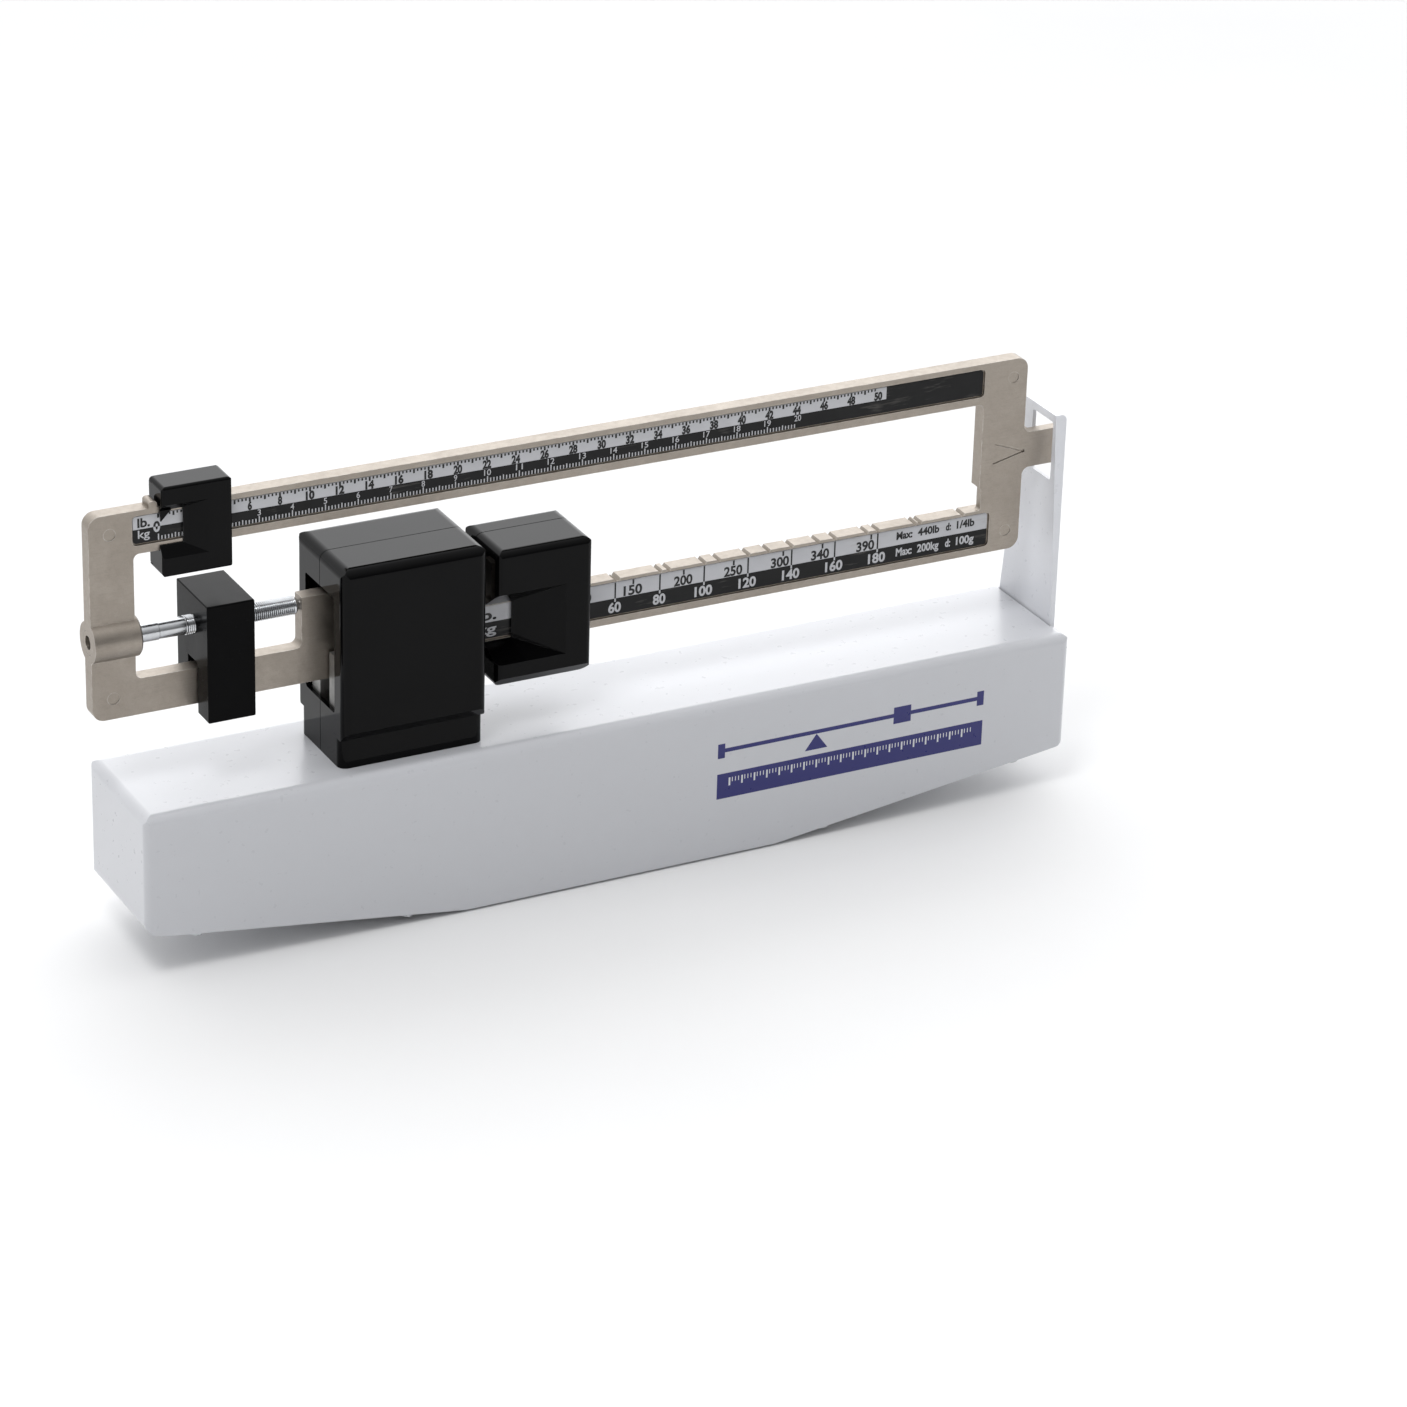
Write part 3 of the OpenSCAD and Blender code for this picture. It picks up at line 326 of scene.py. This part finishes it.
def two_tone(name, split, white_end=None):
    """A printed plate: white above the split and black below, and all black past the white's end."""
    look = Look(name, IOR=1.3)
    above = look.math("GREATER_THAN", look.axis("Z"), split)
    if white_end is not None:
        above = look.math("MULTIPLY", above,
                          look.math("LESS_THAN", look.axis("X"), white_end))
    tint = look.spread(look.noise(20, detail=4), 0.35, 0.65)
    white = look.mix(tint, scaled(WHITE_INK, 0.94), WHITE_INK)
    black = look.mix(tint, scaled(BLACK_INK, 0.75), scaled(BLACK_INK, 1.2))
    colour = look.mix(above, black, white)
    rub = look.math("MULTIPLY", look.noise(1.4, detail=4, stretch=(9, 1, 1)),
                    look.noise(26, detail=2))
    colour = look.mix(look.spread(rub, 0.33, 0.5, 0.0, 0.22), colour, (0.34, 0.32, 0.29))
    look.bump(look.noise(0.5, detail=2), 0.003)
    return look.finish(colour, look.spread(look.noise(8, detail=4), 0.3, 0.7, 0.28, 0.42))


def ink(name, base):
    """Screen-printed ink, with the slight mottle of a thin layer."""
    look = Look(name, IOR=1.45)
    colour = look.mix(look.spread(look.noise(0.6, detail=3), 0.35, 0.7),
                      scaled(base, 0.86), base)
    look.bump(look.noise(0.2, detail=2), 0.002)
    return look.finish(colour, look.spread(look.noise(2), 0.3, 0.7, 0.35, 0.5))


PAINT = (0.635, 0.645, 0.675)
# The stop bracket has the housing's own white paint, painted 1.24 times lighter: a painted highlight
# that stands in for the light falling on the bracket
BRACKET_PAINT_LIT = scaled(PAINT, 1.24)
ZINC_PLATE = (0.62, 0.635, 0.655)
BLACK_PLASTIC = (0.002, 0.002, 0.0022)
MATERIALS = {
    "housing_paint": paint("housing_paint", PAINT, badge=True),
    "bracket_paint": paint("bracket_paint", BRACKET_PAINT_LIT),
    "zinc_plate": plated("zinc_plate", ZINC_PLATE, rough_low=0.22, rough_high=0.36),
    "zinc_rod": plated("zinc_rod", ZINC_PLATE, rough_low=0.18, rough_high=0.26,
                       lines=(0.2, 3, 3), mottle=0.35),
    "stand_casting": casting("stand_casting", (0.37, 0.365, 0.355), metallic=0.85,
                             grain_mm=0.6, depth_mm=0.03),
    "hard_steel": plated("hard_steel", (0.42, 0.42, 0.43), rough_low=0.15, rough_high=0.25,
                         lines=(1, 8, 1)),
    "beam_nickel": nickel(),
    "gloss_black": plastic("gloss_black", BLACK_PLASTIC, ior=1.2, rough_low=0.04,
                           rough_high=0.09, texture_mm=0.0012),
    "satin_black": plastic("satin_black", BLACK_PLASTIC, ior=1.14, rough_low=0.18,
                           rough_high=0.28, texture_mm=0.006),
    "zinc_weight": casting("zinc_weight", (0.36, 0.36, 0.37), metallic=0.9,
                           grain_mm=1.0, depth_mm=0.05),
    "spring_steel": plated("spring_steel", (0.50, 0.51, 0.52), rough_low=0.14,
                           rough_high=0.24, lines=(10, 1, 1)),
}
BLACK_MARK, WHITE_MARK = ink("black_ink", BLACK_INK), ink("white_ink", WHITE_INK)


# ---- Mesh helpers ----

def piece(name, body, material, bm, replaces=(), smooth_deg=None):
    """Makes an object from a bmesh that is in the row frame, and has it ride on a body."""
    mesh = bpy.data.meshes.new(name)
    bm.normal_update()
    bm.to_mesh(mesh)
    bm.free()
    mesh.materials.append(material)
    if smooth_deg is not None:
        mesh.shade_smooth()
        mesh.set_sharp_from_angle(angle=math.radians(smooth_deg))
    obj = bpy.data.objects.new(name, mesh)
    SCENE.collection.objects.link(obj)
    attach(obj, body)
    if replaces:
        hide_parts(*replaces)


def add(bm, mesh, matrix):
    """Adds a mesh to a bmesh, placed by a matrix."""
    start = len(bm.verts)
    bm.from_mesh(mesh)
    bm.verts.ensure_lookup_table()
    bmesh.ops.transform(bm, matrix=matrix, verts=bm.verts[start:])


def revolve(rows, sides):
    """A closed mesh about Z. Each row is (z, radius), and radius may be a function of the angle.

    Rows run from the low end to the high end, with radius 0 at both.
    """
    bm = bmesh.new()
    rings = []
    for z, radius in rows:
        if not callable(radius) and radius == 0:
            rings.append([bm.verts.new((0, 0, z))])
            continue
        ring = []
        for i in range(sides):
            t = 2 * math.pi * i / sides
            r = radius(t) if callable(radius) else radius
            ring.append(bm.verts.new((r * math.cos(t), r * math.sin(t), z)))
        rings.append(ring)
    for low, high in zip(rings, rings[1:]):
        for i in range(sides):
            corners = [low[i % len(low)], low[(i + 1) % sides % len(low)],
                       high[(i + 1) % sides % len(high)], high[i % len(high)]]
            bm.faces.new(list(dict.fromkeys(corners)))
    return bm


# How fast a thread's flank falls. Above 1 the root between two flanks is flat.
FLANK_FALL = 1.25


def thread_rows(z0, z1, major, pitch, depth, per_turn=8):
    """Rows of a real V thread that fades in and out over its first and last turn."""
    count = max(2, round((z1 - z0) / pitch * per_turn))

    def row(z):
        fade = min(1.0, (z - z0) / pitch, (z1 - z) / pitch)

        def radius(angle):
            turn = (z / pitch - angle / (2 * math.pi)) % 1.0
            hollow = min(1.0, FLANK_FALL * abs(2 * turn - 1))
            return major - depth * hollow * fade
        return radius
    heights = [z0 + (z1 - z0) * k / count for k in range(count + 1)]
    return [(z, row(z)) for z in heights]


def to_mesh(bm):
    """Turns a bmesh into a mesh, and frees the bmesh."""
    mesh = bpy.data.meshes.new("made")
    bm.normal_update()
    bm.to_mesh(mesh)
    bm.free()
    return mesh


def cut(mesh, tool):
    """The mesh with a tool mesh cut away."""
    pair = []
    for data in (mesh, tool):
        obj = bpy.data.objects.new("cutting", data)
        SCENE.collection.objects.link(obj)
        pair.append(obj)
    modifier = pair[0].modifiers.new("cut", "BOOLEAN")
    modifier.operation, modifier.solver, modifier.object = "DIFFERENCE", "EXACT", pair[1]
    graph = bpy.context.evaluated_depsgraph_get()
    made = bpy.data.meshes.new_from_object(pair[0].evaluated_get(graph))
    for obj in pair:
        bpy.data.objects.remove(obj)
    return made


def tapered_bar(length, width, top_z, depth, share_below, share_above):
    """One blade of a cross recess. Its length is a share of the full one at each of its ends."""
    bm = bmesh.new()
    corners = []
    for z, share in ((top_z - depth, share_below), (top_z + depth, share_above)):
        corners.append([bm.verts.new((sx * length / 2 * share, sy * width / 2, z))
                        for sx, sy in ((-1, -1), (1, -1), (1, 1), (-1, 1))])
    low, high = corners
    bm.faces.new(reversed(low))
    bm.faces.new(high)
    for i in range(4):
        j = (i + 1) % 4
        bm.faces.new((low[i], low[j], high[j], high[i]))
    return to_mesh(bm)


SCREW_SIDES, DOME_STEPS = 40, 6
UNDER_HEAD = 0.3 * MM
RIM = 0.15 * MM


def cross_screw(head_r, head_h, shank_r, shank_len, pitch):
    """A pan-head screw with a cross recess. Its head stands on z = 0 and its shank runs down."""
    tip = -shank_len + shank_r * 0.3
    rows = [(-shank_len, 0), (-shank_len, shank_r * 0.7), (tip, shank_r * 0.93)]
    rows += thread_rows(tip, -UNDER_HEAD, shank_r, pitch, 0.3 * pitch, per_turn=6)
    rows += [(-0.02 * MM, shank_r), (0, shank_r), (0, head_r - RIM), (RIM, head_r)]
    shoulder, crown_r = head_h * 0.45, head_r * 0.45
    for k in range(1, DOME_STEPS + 1):
        t = math.radians(90 * k / DOME_STEPS)
        radius = crown_r + (head_r - crown_r) * math.cos(t)
        if k == DOME_STEPS:
            radius = head_r * 0.4
        rows.append((shoulder + (head_h - shoulder) * math.sin(t), radius))
    rows.append((head_h, 0))
    screw = to_mesh(revolve(rows, SCREW_SIDES))
    for turn in (0, 90):
        blade = tapered_bar(head_r * 1.15, head_r * 0.26, head_h, head_h * 0.62,
                            share_below=0.55, share_above=1.35)
        blade.transform(Matrix.Rotation(math.radians(turn), 4, "Z"))
        screw = cut(screw, blade)
    return screw


def solids(node):
    """The box of each separate solid in a CAD node, in metres, sorted by X, Y and Z."""
    mesh = NODES[node].data
    co = np.array([v.co for v in mesh.vertices])
    label = np.unique(np.round(co, 6), axis=0, return_inverse=True)[1].ravel()
    parent = list(range(label.max() + 1))

    def root(i):
        while parent[i] != i:
            parent[i] = parent[parent[i]]
            i = parent[i]
        return i
    for poly in mesh.polygons:
        ring = [root(label[k]) for k in poly.vertices]
        for other in ring[1:]:
            parent[root(other)] = root(ring[0])
    group = np.array([root(k) for k in label])
    boxes = [(Vector(co[group == g].min(0)), Vector(co[group == g].max(0)))
             for g in np.unique(group)]
    return sorted(boxes, key=lambda b: tuple(round(v, 4) for v in b[0]))


def facing(direction):
    """A rotation that turns +Z to a direction."""
    return Vector(direction).to_track_quat("Z", "Y").to_matrix().to_4x4()


# ---- CAD nodes: finishes and softened edges ----

FINISH = {
    "housing_paint": ["housing_shell", "bottom_cover"],
    "bracket_paint": ["stop_bracket"],
    "zinc_plate": ["bottom_cover_screws", "stop_bracket_screws", "stop_bracket_nuts",
                   "stand_bolts", "bearing_guards", "guard_screws", "cover_base_screws",
                   "load_stirrup", "draft_nuts", "cover_top_screws",
                   "small_poise_screws", "large_poise_screws", "draft_rod",
                   "adjusting_screw"],
    "stand_casting": ["fulcrum_stand"],
    "hard_steel": ["fulcrum_bearings", "fulcrum_pivot", "load_pivot"],
    "beam_nickel": ["beam_casting", "screw_retainer"],
    "gloss_black": ["cover_front", "cover_rear", "small_poise_body", "small_poise_back",
                    "large_poise_front", "large_poise_rear"],
    "satin_black": ["counterweight_block"],
    "zinc_weight": ["large_poise_upper_weight", "large_poise_lower_weight"],
    "spring_steel": ["small_poise_spring", "large_poise_detent"],
}
# Bevel widths of the nodes whose edges the CAD leaves sharp. The others keep the CAD's own normals.
EDGE_MM = {
    "bottom_cover": 0.3, "stop_bracket": 0.4, "fulcrum_stand": 0.5,
    "beam_casting": 0.4, "counterweight_block": 0.7, "small_poise_back": 0.3,
    "load_stirrup": 0.3, "bearing_guards": 0.2, "screw_retainer": 0.2,
}
SHARP_DEG, BEVEL_DEG, BEVEL_STEPS = 30, 38, 3
for finish, members in FINISH.items():
    for node in members:
        mesh = NODES[node].data
        mesh.materials.clear()
        mesh.materials.append(MATERIALS[finish])
        if node not in EDGE_MM:
            continue
        if mesh.has_custom_normals:
            mesh.attributes.remove(mesh.attributes["custom_normal"])
        mesh.shade_smooth()
        mesh.set_sharp_from_angle(angle=math.radians(SHARP_DEG))

for node, width in EDGE_MM.items():
    weld = NODES[node].modifiers.new("weld", "WELD")
    weld.merge_threshold = 1e-6
    bevel = NODES[node].modifiers.new("bevel", "BEVEL")
    bevel.width, bevel.segments = width * MM, BEVEL_STEPS
    bevel.limit_method, bevel.angle_limit = "ANGLE", math.radians(BEVEL_DEG)
    weighted = NODES[node].modifiers.new("normals", "WEIGHTED_NORMAL")
    weighted.keep_sharp, weighted.mode = True, "FACE_AREA_WITH_ANGLE"


# ---- Scale plates and their graduations ----

PLATE_SIDES = ("front", "back")
INK_THICK, INK_SINK = 0.05 * MM, 0.02 * MM
# Height of a capital over the font's size
FONT_CAP = 0.691
LB_PER_KG = 2.20462
UPPER_LB, UPPER_KG = 50, 20
LOWER_LB, LOWER_KG = 390, 180
# Height of the line between white and black over the plate's bottom edge
UPPER_SPLIT, LOWER_SPLIT = 7.0 * MM, 8.6 * MM
UPPER_WHITE_END = 155.3 * MM
# Gap between a tick and the plate's edge
UPPER_GAP, LOWER_GAP = 0.12 * MM, 0.15 * MM
# Middle of the capacity texts, in mm
TEXTS_MIDDLE = 187.8


def word_mesh(word, height, width, bold):
    """A closed solid of a short word, on its baseline, centred in X, thickness 0 to 1 in Z."""
    curve = bpy.data.curves.new("word", "FONT")
    curve.body, curve.size, curve.offset = word, 1.0, bold
    curve.extrude, curve.resolution_u = 0.5, 4
    obj = bpy.data.objects.new("word", curve)
    SCENE.collection.objects.link(obj)
    graph = bpy.context.evaluated_depsgraph_get()
    mesh = bpy.data.meshes.new_from_object(obj.evaluated_get(graph))
    bpy.data.objects.remove(obj)
    bm = bmesh.new()
    bm.from_mesh(mesh)
    bmesh.ops.remove_doubles(bm, verts=bm.verts, dist=1e-5)
    xs = [v.co.x for v in bm.verts]
    middle, across = (min(xs) + max(xs)) / 2, width / (max(xs) - min(xs))
    upright = height / FONT_CAP
    for v in bm.verts:
        v.co = ((v.co.x - middle) * across, v.co.y * upright, v.co.z + 0.5)
    return to_mesh(bm)


class Print:
    """All the ink of one colour on one face of one plate."""

    def __init__(self, plate, side):
        low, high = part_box(f"{plate}_{side}")
        self.y = low.y if side == "front" else high.y
        self.out = -1 if side == "front" else 1
        self.bm = bmesh.new()

    def box(self, x0, x1, z0, z1):
        y0, y1 = sorted((self.y - self.out * INK_SINK, self.y + self.out * INK_THICK))
        place = Matrix.Translation(((x0 + x1) / 2, (y0 + y1) / 2, (z0 + z1) / 2))
        size = Matrix.Diagonal((x1 - x0, y1 - y0, z1 - z0, 1))
        bmesh.ops.create_cube(self.bm, size=1, matrix=place @ size)

    def word(self, text, x, z, height, width, bold=0.032, keep=None):
        """A word centred on x with its baseline at z.

        keep is None, or "above" or "below" and the height to part the word at.
        """
        mesh = word_mesh(text, height, width, bold)
        turn = Matrix(((-self.out, 0, 0), (0, 0, self.out), (0, 1, 0))).to_4x4()
        place = Matrix.Translation((x, self.y - self.out * INK_SINK, z))
        thick = Matrix.Diagonal((1, 1, INK_THICK + INK_SINK, 1))
        mesh.transform(place @ turn @ thick)
        if keep is not None:
            bm = bmesh.new()
            bm.from_mesh(mesh)
            bmesh.ops.bisect_plane(
                bm, geom=bm.verts[:] + bm.edges[:] + bm.faces[:],
                plane_co=(0, 0, keep[1]), plane_no=(0, 0, 1),
                clear_inner=keep[0] == "above", clear_outer=keep[0] == "below")
            open_edges = [e for e in bm.edges if len(e.link_faces) == 1]
            bmesh.ops.holes_fill(bm, edges=open_edges, sides=0)
            mesh = to_mesh(bm)
        add(self.bm, mesh, Matrix.Identity(4))


def upper_prints(side, black, white):
    """Quarter pounds on the white and tenths of a kilogram on the black."""
    low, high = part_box(f"upper_scale_{side}")
    split = low.z + UPPER_SPLIT
    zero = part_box("small_poise_body")[0].x - 0.1 * MM
    lb = JOINTS["small_poise_slide"]["range_m"][1] / UPPER_LB
    kg = lb * LB_PER_KG
    for quarter in range(4 * UPPER_LB):
        x = zero + lb * quarter / 4
        half, bottom = (0.50, 4.3) if quarter % 4 == 0 else (0.41, 5.1)
        black.box(x - half * MM, x + half * MM, split + bottom * MM, high.z - UPPER_GAP)
    for tenth in range(10 * UPPER_KG):
        x = zero + kg * tenth / 10
        half = 0.29 * MM
        tall = 3.2 if tenth % 10 == 0 else 2.6 if tenth % 5 == 0 else 2.1
        white.box(x - half, x + half, low.z + UPPER_GAP, low.z + tall * MM)
    for pounds in range(2, UPPER_LB + 1, 2):
        wide = 2.2 if pounds < 10 else 4.5
        black.word(str(pounds), zero + lb * pounds, split + 0.4 * MM, 3.85 * MM,
                   wide * MM, bold=0.055)
    for kilos in range(1, UPPER_KG + 1):
        wide = 1.7 if kilos < 10 else 3.6
        white.word(str(kilos), zero + kg * kilos, low.z + 3.6 * MM, 3.0 * MM,
                   wide * MM, bold=0.004)
    # The zero stands across the split, black above it and white below
    for part, pen in (("above", black), ("below", white)):
        pen.word("0", zero - 0.8 * MM, split - 2.5 * MM, 5.0 * MM, 3.4 * MM,
                 bold=0.035, keep=(part, split))
    left = low.x + 5.4 * MM
    black.word("lb.", left, split + 0.95 * MM, 4.4 * MM, 6.2 * MM, bold=0.03)
    white.word("kg", left, split - 4.6 * MM, 4.0 * MM, 5.9 * MM, bold=0.01)


def lower_prints(side, black, white):
    """The detents' pounds on the white, every 20 kilograms on the black, and the capacity."""
    low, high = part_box(f"lower_scale_{side}")
    split = low.z + LOWER_SPLIT
    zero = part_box("large_poise_front")[0].x - 1.95 * MM
    lb = JOINTS["large_poise_slide"]["range_m"][1] / LOWER_LB
    kg = lb * LB_PER_KG
    for pounds, shift in ((50, 0), (100, 0), (150, 0), (200, 0), (250, 0), (300, -1.5),
                          (340, -1.0), (LOWER_LB, -3.0)):
        x, half = zero + lb * pounds, 0.5 * MM
        wide = 6.9 if pounds < 100 else 10.2
        black.box(x - half, x + half, split + 5.9 * MM, high.z - LOWER_GAP)
        black.word(str(pounds), x + (shift - 0.2) * MM, split + 0.5 * MM, 4.9 * MM,
                   wide * MM)
    for kilos in range(20, LOWER_KG + 1, 20):
        x, half = zero + kg * kilos, 0.42 * MM
        wide = 6.9 if kilos < 100 else 9.8
        black.box(x - half, x + half, split + 0.02 * MM, high.z - LOWER_GAP)
        white.box(x - half, x + half, split - 1.8 * MM, split - 0.02 * MM)
        white.word(str(kilos), x - 0.2 * MM, split - 7.3 * MM, 5.0 * MM, wide * MM)
    left = low.x + 7.5 * MM
    black.word("lb.", left, split + 1.3 * MM, 5.2 * MM, 10.2 * MM, bold=0.03)
    white.word("kg", left, split - 6.0 * MM, 4.9 * MM, 10.2 * MM, bold=0.02)
    texts = (("Max:", "Max:", 169.6, 9.2), ("440lb", "200kg", 183.5, 12.4),
             ("d:", "d:", 195.0, 3.0), ("1/4lb", "100g", 205.0, 10.3))
    for pounds, kilos, x, wide in texts:
        # On the back the same texts run the other way about their middle
        place = x * MM if side == "front" else (2 * TEXTS_MIDDLE - x) * MM
        black.word(pounds, place, split + 3.0 * MM, 3.9 * MM, wide * MM, bold=0.036)
        white.word(kilos, place, split - 6.0 * MM, 4.1 * MM, wide * MM, bold=0.03)


for plate, draw, split, white_end in (
        ("upper_scale", upper_prints, UPPER_SPLIT, UPPER_WHITE_END),
        ("lower_scale", lower_prints, LOWER_SPLIT, None)):
    for side in PLATE_SIDES:
        node = f"{plate}_{side}"
        split_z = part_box(node)[0].z + split
        NODES[node].data.materials.clear()
        NODES[node].data.materials.append(two_tone(f"{node}_print", split_z, white_end))
        pens = Print(plate, side), Print(plate, side)
        draw(side, *pens)
        for pen, material, word in zip(pens, (BLACK_MARK, WHITE_MARK), ("black", "white")):
            piece(f"{node}_{word}_marks", "beam", material, pen.bm)


# ---- Threaded rods and screws ----

# Height over width of a screw's head
HEAD_SHARE = 0.34
# Piece, CAD node, body, where the heads point, shank over head, pitch in mm
SCREW_SETS = (
    ("bracket_screws", "stop_bracket_screws", "housing", (1, 0, 0), 0.53, 0.8),
    ("cover_screws", "cover_top_screws", "housing", (0, 1, 0), 0.51, 0.5),
    ("small_back_screws", "small_poise_screws", "small_poise", (0, 1, 0), 0.54, 0.45),
    ("large_back_screws", "large_poise_screws", "large_poise", (0, 1, 0), 0.51, 0.5),
)


def screw_set(name, node, body, direction, shank_share, pitch):
    """Replaces a CAD node of plain screws. Each screw is sized and placed from its solid's box."""
    bm = bmesh.new()
    axis = max(range(3), key=lambda k: abs(direction[k]))
    sign = 1 if direction[axis] > 0 else -1
    for low, high in solids(node):
        centre = (low + high) / 2
        across = (high - low)[(axis + 1) % 3]
        length = (high - low)[axis]
        head_h = across * HEAD_SHARE
        base = centre.copy()
        base[axis] = (high[axis] if sign > 0 else low[axis]) - sign * head_h
        screw = cross_screw(across / 2, head_h, across / 2 * shank_share,
                            length - head_h, pitch)
        add(bm, screw, Matrix.Translation(base) @ facing(direction))
    piece(name, body, MATERIALS["zinc_plate"], bm, replaces=(node,),
          smooth_deg=32)


def adjusting_screw():
    """A journal in the boss, a smooth shaft up to the counterweight, then a fine thread."""
    low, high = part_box("adjusting_screw")
    major = (high.z - low.z) / 2
    length = high.x - low.x
    chamfer, end_chamfer = 0.3 * MM, 0.5 * MM
    journal = 31.5 * MM
    shaft_r = major - chamfer
    thread_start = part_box("counterweight_block")[0].x - 4 * MM - low.x
    cone, cone_len, nose_r = length - 7.7 * MM, 2.3 * MM, 2.5 * MM
    slot_w, slot_deep = 1.4 * MM, 1.6 * MM
    rows = [(0, 0), (0, major - end_chamfer), (end_chamfer, major),
            (journal - chamfer, major), (journal, shaft_r), (thread_start - chamfer, shaft_r)]
    rows += thread_rows(thread_start, cone, major, 1.0 * MM, 0.45 * MM)
    rows += [(cone + 0.1 * MM, major - 0.05 * MM), (cone + cone_len, nose_r),
             (length - chamfer, nose_r), (length, nose_r - chamfer), (length, 0)]
    body = to_mesh(revolve(rows, 48))
    slot_tool = bmesh.new()
    bmesh.ops.create_cube(slot_tool, size=1, matrix=Matrix.Diagonal(
        (4 * major, slot_w, 2 * slot_deep, 1)))
    body = cut(body, to_mesh(slot_tool))
    bm = bmesh.new()
    centre = Vector((low.x, (low.y + high.y) / 2, (low.z + high.z) / 2))
    add(bm, body, Matrix.Translation(centre) @ Matrix.Rotation(math.pi / 2, 4, "Y"))
    piece("adjusting_screw_thread", "screw", MATERIALS["zinc_rod"],
          bm, replaces=("adjusting_screw",), smooth_deg=40)


def draft_rod():
    """A length of threaded rod with a thinner threaded end below."""
    low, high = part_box("draft_rod")
    major, length = (high.x - low.x) / 2, high.z - low.z
    minor, shoulder = 2.5 * MM, 24 * MM
    chamfer, run_in = 0.5 * MM, 0.6 * MM
    rows = [(0, 0), (0, minor - run_in), (chamfer, minor - 0.1 * MM)]
    rows += thread_rows(run_in, shoulder - 2 * run_in, minor, 0.8 * MM, 0.4 * MM)
    rows += [(shoulder, minor), (shoulder + 0.02 * MM, major - chamfer),
             (shoulder + chamfer, major)]
    rows += thread_rows(shoulder + run_in, length - run_in, major, 1.0 * MM, 0.5 * MM)
    rows += [(length, major - 0.7 * MM), (length, 0)]
    bm = revolve(rows, 36)
    centre = Vector(((low.x + high.x) / 2, (low.y + high.y) / 2, low.z))
    bmesh.ops.translate(bm, vec=centre, verts=bm.verts)
    piece("draft_rod_thread", "hanger", MATERIALS["zinc_plate"],
          bm, replaces=("draft_rod",), smooth_deg=40)


for name, node, body, direction, shank_share, pitch_mm in SCREW_SETS:
    screw_set(name, node, body, direction, shank_share, pitch_mm * MM)
adjusting_screw()
draft_rod()


# ---- Floor and light ----

FLOOR_HALF, FLOOR_GAP = 14, 0.2 * MM
FLOOR_GREY, FLOOR_PALE = (0.86, 0.86, 0.86), (0.885, 0.885, 0.885)


def floor():
    """A wide sheet of pale card just under the balance."""
    bm = bmesh.new()
    bmesh.ops.create_grid(bm, x_segments=1, y_segments=1, size=FLOOR_HALF)
    bmesh.ops.translate(bm, vec=(0, 0, CAD_LOW.z - FLOOR_GAP), verts=bm.verts)
    mesh = to_mesh(bm)
    look = Look("floor_card", Specular_IOR_Level=0.1)
    colour = look.mix(look.spread(look.noise(400, detail=3), 0.3, 0.7),
                      FLOOR_GREY, FLOOR_PALE)
    look.bump(look.noise(1.0, detail=2), 0.02)
    rough = look.spread(look.noise(90), 0.3, 0.7, 0.85, 0.95)
    mesh.materials.append(look.finish(colour, rough))
    obj = bpy.data.objects.new("floor", mesh)
    SCENE.collection.objects.link(obj)


def sky(level, least, rise, glow, focus, towards, tint):
    """Soft all-round light that rises towards one side and has a wide glow in its middle."""
    world = bpy.data.worlds.new("studio")
    world.use_nodes = True
    tree = world.node_tree
    where = tree.nodes.new("ShaderNodeTexCoord").outputs["Generated"]
    along = tree.nodes.new("ShaderNodeVectorMath")
    along.operation = "DOT_PRODUCT"
    along.inputs[1].default_value = Vector(towards).normalized()
    tree.links.new(where, along.inputs[0])

    def step(operation, a, b):
        made = tree.nodes.new("ShaderNodeMath")
        made.operation = operation
        for socket, value in zip(made.inputs, (a, b)):
            if isinstance(value, bpy.types.NodeSocket):
                tree.links.new(value, socket)
            else:
                socket.default_value = value
        return made.outputs[0]
    share = along.outputs["Value"]
    even = step("MAXIMUM", step("ADD", step("MULTIPLY", share, rise), level), least)
    lobe = step("POWER", step("MAXIMUM", share, 0.0), focus)
    total = step("ADD", even, step("MULTIPLY", lobe, glow))
    tree.links.new(total, tree.nodes["Background"].inputs["Strength"])
    tree.nodes["Background"].inputs["Color"].default_value = (*tint, 1)
    SCENE.world = world


def soft_box(name, place, aim, size, watts):
    """A square area light that faces a point."""
    data = bpy.data.lights.new(name, "AREA")
    data.shape, data.size, data.energy = "SQUARE", size, watts
    obj = bpy.data.objects.new(name, data)
    back = (Vector(place) - Vector(aim)).normalized()
    obj.matrix_world = Matrix.Translation(place) @ facing(back)
    SCENE.collection.objects.link(obj)


floor()
sky(level=0.7, least=0.1, rise=1.0, glow=1.1, focus=10.0, towards=(0.43, 0.79, 0.43),
    tint=(0.985, 0.99, 1.0))
soft_box("key", place=(-0.9, -0.7, 2.2), aim=(0, 0, 0.1), size=0.75, watts=14)
SCENE.view_settings.view_transform = "Standard"
